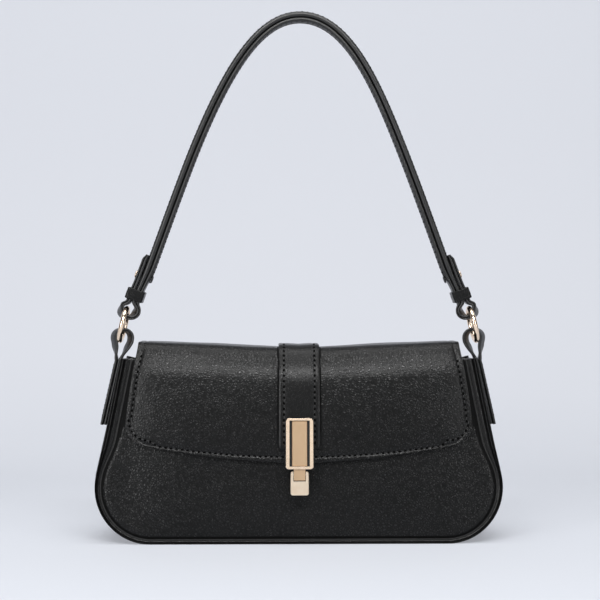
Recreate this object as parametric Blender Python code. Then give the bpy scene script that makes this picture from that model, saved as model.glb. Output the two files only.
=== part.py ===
"""A leather flap bag: body, flap with a hinged clasp tongue, side tabs, rings and shoulder strap.

Metres, +Z up, +X to the right, +Y to the back. The origin is the middle of the base's underside.
"""

import math

import bmesh
import bpy
from mathutils import Matrix, Vector

# Body, seen from the front: the seam line that the panels are cut to
SEAM_BASE_Z = 0.0059
SEAM_TOP_Z = 0.118
SEAM_TOP_HALF_WIDTH = 0.110
CORNER_RADIUS = 0.030
CORNER_CENTRE_X = 0.0952
# Body, seen from the side
BASE_DEPTH = 0.065
TOP_DEPTH = 0.040
PANEL_THICKNESS = 0.0022
PANEL_CROWN = 0.0028
# Welt round each panel and the gusset between them
WELT_WIDTH = 0.0052
WELT_PROUD = 0.0010
WELT_ROUND = 0.0014
GUSSET_THICKNESS = 0.0020
GUSSET_BULGE = 0.0036
GUSSET_TOP_BULGE_SHARE = 0.25
GUSSET_TOP_DROP = 0.0015
# Inside
LINING_THICKNESS = 0.0008
LINING_STANDOFF = 0.0004
BOARD_THICKNESS = 0.0014
FACING_HEIGHT = 0.022
FACING_THICKNESS = 0.0011
MAGNET_RADIUS = 0.0050
MAGNET_THICKNESS = 0.0014
PATCH_SIZE = 0.018
PATCH_THICKNESS = 0.0004
# Flap
FLAP_STANDOFF = 0.0018
FLAP_LINING_THICKNESS = 0.0007
FLAP_THICKNESS = 0.0016
FLAP_TOP_Z = 0.1270
FLAP_DIP = 0.0046
FLAP_FOLD_RADIUS = 0.0085
FLAP_TOP_HALF_WIDTH = 0.1048
FLAP_LOW_HALF_WIDTH = 0.1132
FLAP_CORNER_RADIUS = 0.016
FLAP_EDGE_CENTRE_Z = 0.0525
FLAP_EDGE_RISE = 0.0090
HINGE_Z = 0.1205
LEAF_LOW_Z = 0.094
# Tab that carries the clasp
TAB_HALF_WIDTH = 0.0130
TAB_THICKNESS = 0.0020
TAB_LOW_Z = 0.0603
TAB_CORNER_RADIUS = 0.0038
# Clasp
CLASP_CENTRE_Z = 0.0648
FRAME_WIDTH = 0.0178
FRAME_HEIGHT = 0.0323
FRAME_DEPTH = 0.0052
FRAME_FLOOR = 0.0010
FRAME_SIDE_WALL = 0.0024
FRAME_TOP_WALL = 0.0014
FRAME_LOW_WALL = 0.0017
FRAME_CORNER_RADIUS = 0.0020
BAR_WIDTH = 0.0098
BAR_SINK = 0.0004
NECK_WIDTH = 0.0074
NECK_THICKNESS = 0.0024
BACK_PLATE_WIDTH = 0.0150
BACK_PLATE_HEIGHT = 0.0240
BACK_PLATE_THICKNESS = 0.0010
SCREW_RADIUS = 0.0010
SCREW_HEAD_RADIUS = 0.0019
SCREW_HEAD_THICKNESS = 0.0005
SCREW_SPACING = 0.0150
SCREW_OFFSET_UP = 0.0030
SCREW_GRIP = 0.0018
# Tongue
TONGUE_WIDTH = 0.0117
TONGUE_HEIGHT = 0.0152
TONGUE_THICKNESS = 0.0032
TONGUE_GAP = 0.0013
TONGUE_CORNER_RADIUS = 0.0015
TONGUE_NOTCH_DEPTH = 0.0064
PIN_DROP = 0.0022
PIN_RADIUS = 0.0005
BOSS_RADIUS = 0.0036
BOSS_RISE = 0.0045
ARMATURE_RADIUS = 0.0022
ARMATURE_DEPTH = 0.0020
# Rings
RING_FLAP_CLEARANCE = 0.0115
RING_CENTRE_X = FLAP_TOP_HALF_WIDTH + RING_FLAP_CLEARANCE
RING_CENTRE_Z = 0.1407
RING_OUTER_RADIUS = 0.0127
RING_WIRE_RADIUS = 0.00175
RING_LEAN = math.radians(12.5)
# Side tabs
SIDE_TAB_WIDTH = 0.0090
SIDE_TAB_LEATHER = 0.0019
SIDE_TAB_HOLE_HALF_WIDTH = 0.0046
SIDE_TAB_HOLE_SHIFT = 0.0008
SIDE_TAB_REACH = 0.0022
SIDE_TAB_NECK_Z = 0.1190
SIDE_TAB_HOLE_DROP = 0.0022
SIDE_TAB_LOW_Z = 0.0745
SIDE_TAB_FOLD_GAP = 0.0003
SIDE_TAB_STANDOFF = 0.0005
# Strap
STRAP_WIDTH = 0.0110
STRAP_THICKNESS = 0.0064
STRAP_KEEPER_THICKNESS = 0.0048
STRAP_END_THICKNESS = 0.0029
STRAP_CROWN_Z = 0.3453
STRAP_RISE_SHARE = 0.60
STRAP_CROWN_SHARE = 0.41
STRAP_LEAN = math.radians(20)
STRAP_LOOP_HALF_WIDTH = 0.0036
STRAP_LOOP_INSIDE = 0.0066
STRAP_LOOP_STRAIGHT = 0.0020
STRAP_KEEPER_ACROSS = 0.0026
STRAP_LEG_ACROSS = 0.0041
STRAP_LEG_ALONG = 0.0440
TAIL_THICKNESS = 0.0034
TAIL_ALONG = 0.0490
TAIL_TIP_LENGTH = 0.0040
TAIL_TIP_SHARE = 0.55
TAIL_GAP = 0.0004
KEEPER_ALONG = 0.0212
KEEPER_HEIGHT = 0.0076
KEEPER_THICKNESS = 0.0013
STUD_ALONG = 0.0345
STUD_HEAD_RADIUS = 0.0026
STUD_HEAD_THICKNESS = 0.0010
STUD_POST_RADIUS = 0.0010
STUD_DOME_SHARE = 0.7
# Clearances
FIT_GAP = 0.0003
HOLE_GAP = 0.0003
EDGE_GAP = 0.00015
OVERRUN = 0.002
EDGE_BEVEL = 0.0003
STRIP_EASE_SHARE = 0.22

ring_radius = RING_OUTER_RADIUS - RING_WIRE_RADIUS
body_lean = math.atan((BASE_DEPTH - TOP_DEPTH) / 2 / SEAM_TOP_Z)


def half_depth(z):
    """Half the body's depth at a height, over the panels' flat outer faces."""
    return BASE_DEPTH / 2 + (TOP_DEPTH - BASE_DEPTH) / 2 * z / SEAM_TOP_Z


def crown(x, z):
    """How far a panel swells over its flat face."""
    middle = (SEAM_TOP_Z + SEAM_BASE_Z) / 2
    across = min(1.0, abs(x) / SEAM_TOP_HALF_WIDTH)
    up = min(1.0, abs(z - middle) / (SEAM_TOP_Z - middle))
    return PANEL_CROWN * (1 - across**4) * (1 - up**4)


def panel_face(x, z):
    """Distance of a panel's outer face from the bag's middle plane."""
    return half_depth(z) + crown(x, z)


def smooth(share):
    share = min(1.0, max(0.0, share))
    return share * share * (3 - 2 * share)


def clear_scene():
    for obj in list(bpy.data.objects):
        bpy.data.objects.remove(obj)


def material(name, colour, roughness, metallic):
    made = bpy.data.materials.new(name)
    made.use_nodes = True
    shader = made.node_tree.nodes["Principled BSDF"]
    shader.inputs["Base Color"].default_value = (*colour, 1)
    shader.inputs["Roughness"].default_value = roughness
    shader.inputs["Metallic"].default_value = metallic
    return made


def add_object(name, mesh_data, finish, smooth=True):
    """An object from a bmesh, with its faces turned outwards."""
    bmesh.ops.recalc_face_normals(mesh_data, faces=mesh_data.faces[:])
    mesh = bpy.data.meshes.new(name)
    mesh_data.to_mesh(mesh)
    mesh_data.free()
    if smooth:
        mesh.shade_smooth()
        mesh.set_sharp_from_angle(angle=math.radians(35))
    obj = bpy.data.objects.new(name, mesh)
    bpy.context.scene.collection.objects.link(obj)
    obj.data.materials.append(finish)
    return obj


def loft(stations):
    """A closed body through closed loops of points, all of one length, with flat ends."""
    body = bmesh.new()
    loops = [[body.verts.new(point) for point in station] for station in stations]
    count = len(loops[0])
    for first, second in zip(loops, loops[1:]):
        for i in range(count):
            j = (i + 1) % count
            body.faces.new((first[i], first[j], second[j], second[i]))
    body.faces.new(loops[0])
    body.faces.new(loops[-1])
    return body


def slab(outer, inner):
    """A closed sheet between two grids of points, given as rows."""
    body = bmesh.new()
    front = [[body.verts.new(point) for point in row] for row in outer]
    back = [[body.verts.new(point) for point in row] for row in inner]
    rows, columns = len(front), len(front[0])
    for grid in (front, back):
        for r in range(rows - 1):
            for c in range(columns - 1):
                body.faces.new((grid[r][c], grid[r][c + 1], grid[r + 1][c + 1], grid[r + 1][c]))
    rim = [(r, 0) for r in range(rows)]
    rim += [(rows - 1, c) for c in range(1, columns)]
    rim += [(r, columns - 1) for r in range(rows - 2, -1, -1)]
    rim += [(0, c) for c in range(columns - 2, 0, -1)]
    for (r, c), (s, d) in zip(rim, rim[1:] + rim[:1]):
        body.faces.new((front[r][c], front[s][d], back[s][d], back[r][c]))
    return body


def prism(outline, low, high, axis="Y"):
    """A closed body from an outline in two axes, run along the third from low to high."""
    place = {
        "X": lambda a, b, t: (t, a, b),
        "Y": lambda a, b, t: (a, t, b),
        "Z": lambda a, b, t: (a, b, t),
    }[axis]
    return loft([[place(a, b, t) for a, b in outline] for t in (low, high)])


def arc(centre, radius, start, end, steps):
    """Points on an arc, angles in radians from the first axis."""
    angles = [start + (end - start) * i / steps for i in range(steps + 1)]
    return [(centre[0] + radius * math.cos(a), centre[1] + radius * math.sin(a)) for a in angles]


def circle(centre, radius, steps=20):
    return arc(centre, radius, 0, 2 * math.pi * (steps - 1) / steps, steps - 1)


def rounded_rectangle(width, height, radius, steps=4):
    half_w, half_h = width / 2 - radius, height / 2 - radius
    corners = [(half_w, half_h, 0), (-half_w, half_h, 1), (-half_w, -half_h, 2), (half_w, -half_h, 3)]
    points = []
    for x, z, quarter in corners:
        start = quarter * math.pi / 2
        points += arc((x, z), radius, start, start + math.pi / 2, steps)
    return points


def bevel(obj, width, segments=1):
    modifier = obj.modifiers.new("Edges", "BEVEL")
    modifier.width = width
    modifier.segments = segments
    modifier.limit_method = "ANGLE"
    modifier.angle_limit = math.radians(40)


def cut(obj, cutter):
    """A Boolean cut by an object that isn't part of the bag."""
    cutter.hide_render = True
    cutter.display_type = "WIRE"
    modifier = obj.modifiers.new(cutter.name, "BOOLEAN")
    modifier.operation = "DIFFERENCE"
    modifier.object = cutter


def cutter_from(name, mesh_data):
    return add_object(name, mesh_data, leather, smooth=False)


# The seam line: straight sides, round lower corners and a straight base
corner_centre = (CORNER_CENTRE_X, SEAM_BASE_Z + CORNER_RADIUS)
top_point = (SEAM_TOP_HALF_WIDTH, SEAM_TOP_Z)
to_top = (top_point[0] - corner_centre[0], top_point[1] - corner_centre[1])
side_angle = math.atan2(to_top[1], to_top[0]) - math.acos(CORNER_RADIUS / math.hypot(*to_top))
side_normal = (math.cos(side_angle), math.sin(side_angle))


def seam_half_width(z, out=0.0):
    """Half the width inside the seam line, moved out by some length, at a height."""
    radius = CORNER_RADIUS + out
    if z > corner_centre[1] + radius * side_normal[1]:
        along = radius - (z - corner_centre[1]) * side_normal[1]
        return corner_centre[0] + along / side_normal[0]
    sine = max(-1.0, min(1.0, (z - corner_centre[1]) / radius))
    return corner_centre[0] + radius * math.sqrt(1 - sine * sine)


def seam_path(top_z, side_steps=7, corner_steps=8, base_steps=4):
    """Places along the U from the right top to the left: (x, z, normal x, normal z, corner share)."""
    start = corner_centre[1] + CORNER_RADIUS * side_normal[1]
    half = []
    for i in range(side_steps):
        z = top_z + (start - top_z) * i / side_steps
        half.append((seam_half_width(z), z, *side_normal, 0.0))
    for i in range(corner_steps + 1):
        angle = side_angle + (-math.pi / 2 - side_angle) * i / corner_steps
        x = corner_centre[0] + CORNER_RADIUS * math.cos(angle)
        z = corner_centre[1] + CORNER_RADIUS * math.sin(angle)
        half.append((x, z, math.cos(angle), math.sin(angle), i / corner_steps))
    base = []
    for i in range(1, base_steps):
        x = corner_centre[0] * (1 - 2 * i / base_steps)
        base.append((x, SEAM_BASE_Z, 0.0, -1.0, 1.0))
    other = [(-x, z, -nx, nz, share) for x, z, nx, nz, share in reversed(half)]
    return half + base + other


def panel_rows(inset, top_z, columns=17, side_rows=8, corner_rows=6):
    """Rows of (x, z) that fill the seam line's inside, from its base to its top."""
    radius = CORNER_RADIUS - inset
    rows = []
    for i in range(corner_rows + 1):
        angle = -math.pi / 2 + (side_angle + math.pi / 2) * i / corner_rows
        x = corner_centre[0] + radius * math.cos(angle)
        rows.append((x, corner_centre[1] + radius * math.sin(angle)))
    low = rows[-1][1]
    for i in range(1, side_rows + 1):
        z = low + (top_z - low) * i / side_rows
        rows.append((seam_half_width(z, -inset), z))
    places = [2 * c / (columns - 1) - 1 for c in range(columns)]
    return [[(half * place, z) for place in places] for half, z in rows]


def panel(name, side, finish):
    """A body panel: side is -1 for the front and 1 for the back."""
    rows = panel_rows(EDGE_GAP, SEAM_TOP_Z)
    outer = [[(x, side * panel_face(x, z), z) for x, z in row] for row in rows]
    inner = [[(x, side * (panel_face(x, z) - PANEL_THICKNESS), z) for x, z in row] for row in rows]
    return add_object(name, slab(outer, inner), finish)


def welt(name, side, finish):
    """The folded strip sewn between a panel's edge and the gusset, with a rounded outer edge."""
    deep = PANEL_THICKNESS
    stations = []
    for x, z, nx, nz, _ in seam_path(SEAM_TOP_Z):
        face = half_depth(z)
        profile = [
            (EDGE_GAP, face - deep),
            (EDGE_GAP, face + WELT_PROUD / 2),
            (EDGE_GAP + WELT_ROUND, face + WELT_PROUD),
            (WELT_WIDTH - WELT_ROUND, face + WELT_PROUD),
            (WELT_WIDTH - WELT_ROUND / 3, face + WELT_PROUD - WELT_ROUND / 3),
            (WELT_WIDTH, face + WELT_PROUD - WELT_ROUND),
            (WELT_WIDTH, face - deep),
        ]
        stations.append([(x + nx * out, side * y, z + nz * out) for out, y in profile])
    return add_object(name, loft(stations), finish)


def gusset_out(share, across, z):
    """How far the gusset's outer face lies from the seam line: share is 1 on the base."""
    up = min(1.0, max(0.0, (z - corner_centre[1]) / (SEAM_TOP_Z - corner_centre[1])))
    swell = GUSSET_BULGE * (1 + (GUSSET_TOP_BULGE_SHARE - 1) * up)
    bulge = swell * (1 - share) ** 1.5 * math.cos(across * math.pi / 2) ** 0.7
    return SEAM_BASE_Z + bulge


def gusset(finish):
    """The strip round the sides and base: it bulges at the sides and is flat on the base."""
    across_shares = [-1, -0.85, -0.55, 0, 0.55, 0.85, 1]
    stations = []
    for x, z, nx, nz, share in seam_path(SEAM_TOP_Z - GUSSET_TOP_DROP):
        half = half_depth(z) - PANEL_THICKNESS - FIT_GAP
        outer = [(gusset_out(share, a, z), a * half) for a in across_shares]
        inner = [(out - GUSSET_THICKNESS, y) for out, y in reversed(outer)]
        stations.append([(x + nx * out, y, z + nz * out) for out, y in outer + inner])
    return add_object("gusset", loft(stations), finish)


def trough(out, standoff, low, top):
    """A closed body that fills the bag's inside: out from the seam line, standoff behind the panels."""
    rows = panel_rows(-out, top)
    face = [[(x, half_depth(z) - PANEL_THICKNESS - standoff, max(z, low)) for x, z in row] for row in rows]
    front = [[(x, -y, z) for x, y, z in row] for row in face]
    return slab(front, face)


lining_out = SEAM_BASE_Z - GUSSET_THICKNESS - BOARD_THICKNESS - 2 * FIT_GAP
lining_floor = SEAM_BASE_Z - lining_out


def lining(finish):
    """The fabric bag inside, open at the top."""
    obj = add_object("lining", trough(lining_out, LINING_STANDOFF, 0.0, SEAM_TOP_Z), finish)
    inside = trough(
        lining_out - LINING_THICKNESS, LINING_STANDOFF + LINING_THICKNESS, 0.0, SEAM_TOP_Z + OVERRUN
    )
    cut(obj, cutter_from("lining_inside", inside))
    return obj


def base_board(finish):
    """The stiff board between the lining's floor and the gusset."""
    width = 2 * corner_centre[0]
    depth = 2 * (half_depth(SEAM_BASE_Z) - PANEL_THICKNESS - 2 * FIT_GAP)
    outline = rounded_rectangle(width, depth, BOARD_THICKNESS)
    low = GUSSET_THICKNESS + FIT_GAP
    return add_object("base_board", prism(outline, low, low + BOARD_THICKNESS, "Z"), finish)


def facing(name, side, finish):
    """The leather band inside the mouth."""
    low = SEAM_TOP_Z - FACING_HEIGHT
    behind = PANEL_THICKNESS + LINING_STANDOFF + LINING_THICKNESS + FIT_GAP
    corner = {}
    for z in (low, SEAM_TOP_Z):
        half = seam_half_width(z, lining_out - LINING_THICKNESS - FIT_GAP)
        y = half_depth(z) - behind
        corner[z] = [(-half, y), (half, y), (half, y - FACING_THICKNESS), (-half, y - FACING_THICKNESS)]
    stations = [[(x, side * y, z) for x, y in corner[z]] for z in (low, SEAM_TOP_Z)]
    return add_object(name, loft(stations), finish)


# Flap: one profile from the hinge over the top and down the front, run across the bag
flap_stack = FLAP_LINING_THICKNESS + FIT_GAP + FLAP_THICKNESS
rear_face = half_depth(HINGE_Z) + FLAP_STANDOFF
hinge_y = rear_face + flap_stack


def flap_top(x):
    """Height of the flap's inner face, which dips towards the tab."""
    return FLAP_TOP_Z - FLAP_DIP * (1 - min(1.0, abs(x) / FLAP_TOP_HALF_WIDTH)) ** 1.3


def flap_edge(x):
    """Height of the flap's lower edge."""
    return FLAP_EDGE_CENTRE_Z + FLAP_EDGE_RISE * (x / FLAP_TOP_HALF_WIDTH) ** 2


def flap_half_width(z):
    share = min(1.0, max(0.0, (FLAP_TOP_Z - z) / (FLAP_TOP_Z - FLAP_EDGE_CENTRE_Z)))
    flare = FLAP_LOW_HALF_WIDTH - FLAP_TOP_HALF_WIDTH
    return FLAP_TOP_HALF_WIDTH + flare * math.sin(share * math.pi / 2)


def flap_profile(x, offset, top_rows=4, fold_rows=6):
    """Points (y, z) over the top at one place across, offset out from the flap's inner face."""
    top = flap_top(x)
    fold = top - FLAP_FOLD_RADIUS
    back = rear_face
    front = -(panel_face(x, fold) + FLAP_STANDOFF)
    radius = FLAP_FOLD_RADIUS + offset
    points = [(back + offset, HINGE_Z)] if fold > HINGE_Z + FIT_GAP else []
    low_angle = math.asin(max(0.0, (HINGE_Z - fold) / radius))
    points += arc((back - FLAP_FOLD_RADIUS, fold), radius, low_angle, math.pi / 2, fold_rows)
    span = (back - FLAP_FOLD_RADIUS) - (front + FLAP_FOLD_RADIUS)
    for i in range(1, top_rows):
        points.append((back - FLAP_FOLD_RADIUS - span * i / top_rows, top + offset))
    points += arc((front + FLAP_FOLD_RADIUS, fold), radius, math.pi / 2, math.pi, fold_rows)
    return points


def front_point(x, z, offset):
    """A point over the front panel, offset out from the flap's inner face."""
    y = -(panel_face(x, z) + FLAP_STANDOFF)
    return (x, y - offset * math.cos(body_lean), z + offset * math.sin(body_lean))


def flap_grid(offset, places, half_width, low_z, corner, corner_rows=4, side_rows=7):
    """Rows of points from the hinge to the lower edge: places run from -1 to 1 across."""
    profiles = [flap_profile(place * half_width(FLAP_TOP_Z), offset) for place in places]
    count = min(len(profile) for profile in profiles)
    profiles = [profile[-count:] for profile in profiles]
    rows = []
    for k in range(count):
        row = []
        for place, profile in zip(places, profiles):
            y, z = profile[k]
            row.append((place * half_width(z), y, z))
        rows.append(row)
    starts = [flap_top(place * half_width(FLAP_TOP_Z)) - FLAP_FOLD_RADIUS for place in places]
    for i in range(1, side_rows + 1):
        row = []
        for place, start in zip(places, starts):
            end_x = place * half_width(low_z(0))
            z = start + (low_z(end_x) + corner - start) * i / side_rows
            row.append(front_point(place * half_width(z), z, offset))
        rows.append(row)
    for i in range(1, corner_rows + 1):
        angle = math.pi / 2 * i / corner_rows
        row = []
        for place in places:
            half = half_width(low_z(0)) - corner * (1 - math.cos(angle))
            x = place * half
            z = low_z(place * half_width(low_z(0))) + corner * (1 - math.sin(angle))
            row.append(front_point(x, z, offset))
        rows.append(row)
    return rows


def flap_layer(name, low, thickness, finish):
    places = [2 * c / 20 - 1 for c in range(21)]
    outer = flap_grid(low + thickness, places, flap_half_width, flap_edge, FLAP_CORNER_RADIUS)
    inner = flap_grid(low, places, flap_half_width, flap_edge, FLAP_CORNER_RADIUS)
    return add_object(name, slab(outer, inner), finish)


def closure_tab(finish):
    """The tab over the flap that carries the clasp: it ends where the flap turns down at the back."""
    places = [2 * c / 4 - 1 for c in range(5)]
    low = flap_stack + FIT_GAP
    skipped = 6

    def grid(offset):
        rows = flap_grid(offset, places, lambda z: TAB_HALF_WIDTH, lambda x: TAB_LOW_Z, TAB_CORNER_RADIUS)
        return rows[skipped:]

    return add_object("closure_tab", slab(grid(low + TAB_THICKNESS), grid(low)), finish)


def flap_back_leaf(finish):
    """The flap's rear end, sewn on the back panel under the hinge."""
    top = HINGE_Z - FIT_GAP
    steps = 5
    places = [2 * c / 16 - 1 for c in range(17)]

    def face(extra):
        made = []
        for i in range(steps + 1):
            share = i / steps
            z = LEAF_LOW_Z + (top - LEAF_LOW_Z) * share
            lift = FIT_GAP + (FLAP_STANDOFF - FIT_GAP) * share
            row = [place * FLAP_TOP_HALF_WIDTH for place in places]
            made.append([(x, panel_face(x, z) + lift + extra, z) for x in row])
        return made

    return add_object("flap_back_leaf", slab(face(flap_stack), face(0.0)), finish)


def cylinder(name, radius, low, high, axis, centre, finish, steps=20):
    """A round bar from low to high along an axis; centre gives the other two coordinates."""
    return add_object(name, prism(circle(centre, radius, steps), low, high, axis), finish)


def magnet_parts(steel, patch_finish):
    """The magnet behind the front panel, where the tongue's armature meets it, and its patch."""
    inside = Vector((0, PANEL_THICKNESS - panel_face(0, magnet_z), magnet_z))
    turn = Matrix.Translation(inside) @ Matrix.Rotation(-body_lean, 4, "X")
    low = FIT_GAP + EDGE_GAP
    high = low + MAGNET_THICKNESS
    magnet = cylinder("catch_magnet", MAGNET_RADIUS, low, high, "Y", (0, 0), steel, 24)
    magnet.matrix_world = turn
    outline = rounded_rectangle(PATCH_SIZE, PATCH_SIZE, WELT_ROUND)
    start = high + EDGE_GAP
    patch = add_object("magnet_patch", prism(outline, start, start + PATCH_THICKNESS), patch_finish)
    patch.matrix_world = turn


# Clasp, in its own frame: X across, -Y out from the tab's face, Z up, origin at the frame's back
clasp_reach = panel_face(0, CLASP_CENTRE_Z) + FLAP_STANDOFF + flap_stack + TAB_THICKNESS + 2 * FIT_GAP
clasp_origin = Vector((0, -clasp_reach, CLASP_CENTRE_Z))
clasp_turn = Matrix.Translation(clasp_origin) @ Matrix.Rotation(-body_lean, 4, "X")
frame_low = -FRAME_HEIGHT / 2
neck_back = FRAME_FLOOR + FIT_GAP
pin_y = -(neck_back + NECK_THICKNESS / 2)
tongue_top = frame_low - TONGUE_GAP
pin_z = tongue_top - PIN_DROP
boss_z = tongue_top - TONGUE_HEIGHT + BOSS_RISE
magnet_z = (clasp_turn @ Vector((0, 0, boss_z))).z
screw_heights = [SCREW_OFFSET_UP - SCREW_SPACING / 2, SCREW_OFFSET_UP + SCREW_SPACING / 2]


def in_clasp(obj, place=None):
    """Sets an object, made in the clasp's frame, on the tab."""
    obj.matrix_world = clasp_turn if place is None else clasp_turn @ Matrix.Translation(place)
    return obj


def clasp_frame(finish):
    """The tray-shaped frame: walls round a floor, with a way for the neck under the lower wall."""
    outline = rounded_rectangle(FRAME_WIDTH, FRAME_HEIGHT, FRAME_CORNER_RADIUS, 3)
    obj = add_object("clasp_frame", prism(outline, -FRAME_DEPTH, 0), finish)
    bevel(obj, EDGE_BEVEL)
    half = FRAME_WIDTH / 2 - FRAME_SIDE_WALL
    low, high = frame_low + FRAME_LOW_WALL, -frame_low - FRAME_TOP_WALL
    pocket = [(-half, low), (half, low), (half, high), (-half, high)]
    cut(obj, in_clasp(cutter_from("frame_pocket", prism(pocket, -FRAME_DEPTH - OVERRUN, -FRAME_FLOOR))))
    half = NECK_WIDTH / 2 + FIT_GAP
    start, end = frame_low - OVERRUN, low + OVERRUN
    way = [(-half, start), (half, start), (half, end), (-half, end)]
    depth = neck_back + NECK_THICKNESS + FIT_GAP
    cut(obj, in_clasp(cutter_from("frame_neck_way", prism(way, -depth, -FRAME_FLOOR - EDGE_GAP))))
    return in_clasp(obj)


def clasp_bar(finish):
    """The satin bar in the frame, with the neck that carries the tongue's pin."""
    low = frame_low + FRAME_LOW_WALL + FIT_GAP
    high = -frame_low - FRAME_TOP_WALL - FIT_GAP
    half = BAR_WIDTH / 2
    outline = [(-half, low), (half, low), (half, high), (-half, high)]
    obj = add_object("clasp_bar", prism(outline, -(FRAME_DEPTH - BAR_SINK), -neck_back), finish)
    bevel(obj, EDGE_BEVEL)
    half = NECK_WIDTH / 2
    end = tongue_top - TONGUE_NOTCH_DEPTH + 2 * FIT_GAP
    outline = [(-half, end), (half, end), (half, low + OVERRUN), (-half, low + OVERRUN)]
    neck = cutter_from("bar_neck", prism(outline, -(neck_back + NECK_THICKNESS), -neck_back))
    in_clasp(neck)
    neck.hide_render = True
    neck.display_type = "WIRE"
    join = obj.modifiers.new("Neck", "BOOLEAN")
    join.operation = "UNION"
    join.object = neck
    hole = cutter_from("bar_pin_hole", x_bar(PIN_RADIUS + HOLE_GAP, NECK_WIDTH + OVERRUN))
    cut(obj, in_clasp(hole))
    return in_clasp(obj)


def x_bar(radius, length, steps=16):
    """A round bar along X on the tongue's pin line."""
    return prism(circle((pin_y, pin_z), radius, steps), -length / 2, length / 2, "X")


def tongue_parts(finish, steel):
    """The tongue: ears on the pin, a plate, and a boss that reaches back to the panel."""
    middle = tongue_top - TONGUE_HEIGHT / 2
    outline = rounded_rectangle(TONGUE_WIDTH, TONGUE_HEIGHT, TONGUE_CORNER_RADIUS, 3)
    outline = [(x, z + middle - pin_z) for x, z in outline]
    half = TONGUE_THICKNESS / 2
    obj = add_object("clasp_tongue", prism(outline, -half, half), finish)
    bevel(obj, EDGE_BEVEL)
    place = Vector((0, pin_y, pin_z))
    width = NECK_WIDTH / 2 + FIT_GAP
    low, high = PIN_DROP - TONGUE_NOTCH_DEPTH, PIN_DROP + OVERRUN
    notch = [(-width, low), (width, low), (width, high), (-width, high)]
    cut(obj, in_clasp(cutter_from("tongue_notch", prism(notch, -half - OVERRUN, half + OVERRUN)), place))
    reach = clasp_reach - panel_face(0, magnet_z) - FIT_GAP
    lean_gain = (CLASP_CENTRE_Z - magnet_z) * math.tan(body_lean)
    boss_end = reach - pin_y + lean_gain - FIT_GAP
    centre = (0, boss_z - pin_z)
    boss = in_clasp(cutter_from("tongue_boss", prism(circle(centre, BOSS_RADIUS), 0, boss_end)), place)
    boss.hide_render = True
    boss.display_type = "WIRE"
    join = obj.modifiers.new("Boss", "BOOLEAN")
    join.operation = "UNION"
    join.object = boss
    well = circle(centre, ARMATURE_RADIUS + FIT_GAP)
    bottom = boss_end - ARMATURE_DEPTH - FIT_GAP
    cut(obj, in_clasp(cutter_from("armature_well", prism(well, bottom, boss_end + OVERRUN)), place))
    hole = cutter_from("tongue_pin_hole", x_bar(PIN_RADIUS + HOLE_GAP, TONGUE_WIDTH + OVERRUN))
    cut(obj, in_clasp(hole))
    in_clasp(obj, place)
    disc = prism(circle(centre, ARMATURE_RADIUS), boss_end - ARMATURE_DEPTH, boss_end)
    armature = add_object("tongue_armature", disc, steel)
    return obj, in_clasp(armature, place)


def tongue_pin(finish):
    return in_clasp(add_object("tongue_pin", x_bar(PIN_RADIUS, TONGUE_WIDTH - 2 * FIT_GAP), finish))


# What lies behind the frame, as depths from the frame's back
tab_back = FIT_GAP + TAB_THICKNESS
plate_face = tab_back + FIT_GAP + flap_stack + FIT_GAP


def clasp_back_plate(finish):
    """The plate inside the flap that the screws pull the clasp against."""
    outline = rounded_rectangle(BACK_PLATE_WIDTH, BACK_PLATE_HEIGHT, FRAME_CORNER_RADIUS, 3)
    outline = [(x, z + SCREW_OFFSET_UP) for x, z in outline]
    end = plate_face + BACK_PLATE_THICKNESS
    obj = add_object("clasp_back_plate", prism(outline, plate_face, end), finish)
    for i, height in enumerate(screw_heights):
        recess = circle((0, height), SCREW_HEAD_RADIUS + HOLE_GAP)
        start = end - SCREW_HEAD_THICKNESS - FIT_GAP / 2
        cut(obj, in_clasp(cutter_from(f"plate_recess_{i + 1}", prism(recess, start, end + OVERRUN))))
    return in_clasp(obj)


def clasp_screw(name, height, finish):
    """A screw from the plate into the bar: a head in the plate's recess and a plain shank."""
    end = plate_face + BACK_PLATE_THICKNESS
    shoulder = end - SCREW_HEAD_THICKNESS
    tip = -(neck_back + SCREW_GRIP)
    rings = [(SCREW_RADIUS, tip), (SCREW_RADIUS, shoulder)]
    rings += [(SCREW_HEAD_RADIUS, shoulder), (SCREW_HEAD_RADIUS, end)]
    stations = []
    for radius, y in rings:
        stations.append([(x, y, z) for x, z in circle((0, height), radius, 16)])
    return in_clasp(add_object(name, loft(stations), finish))


def drill_for_screws(objects):
    """One clear hole for each screw through everything that it passes or enters."""
    for i, height in enumerate(screw_heights):
        loop = circle((0, height), SCREW_RADIUS + HOLE_GAP, 16)
        tip = -(neck_back + SCREW_GRIP + FIT_GAP)
        drill = in_clasp(cutter_from(f"screw_hole_{i + 1}", prism(loop, tip, plate_face + OVERRUN)))
        for obj in objects:
            cut(obj, drill)


def ring(name, side, finish):
    """A round ring, its top leaning in over the bag: the object's origin is the ring's centre."""
    body = bmesh.new()
    big, small = 36, 10
    loops = []
    for i in range(big):
        a = 2 * math.pi * i / big
        loop = []
        for j in range(small):
            b = 2 * math.pi * j / small
            reach = ring_radius + RING_WIRE_RADIUS * math.cos(b)
            point = (RING_WIRE_RADIUS * math.sin(b), reach * math.sin(a), reach * math.cos(a))
            loop.append(body.verts.new(point))
        loops.append(loop)
    for i in range(big):
        first, second = loops[i], loops[(i + 1) % big]
        for j in range(small):
            k = (j + 1) % small
            body.faces.new((first[j], first[k], second[k], second[j]))
    obj = add_object(name, body, finish)
    obj.location = (side * RING_CENTRE_X, 0, RING_CENTRE_Z)
    obj.rotation_euler = (0, -side * RING_LEAN, 0)
    return obj


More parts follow.
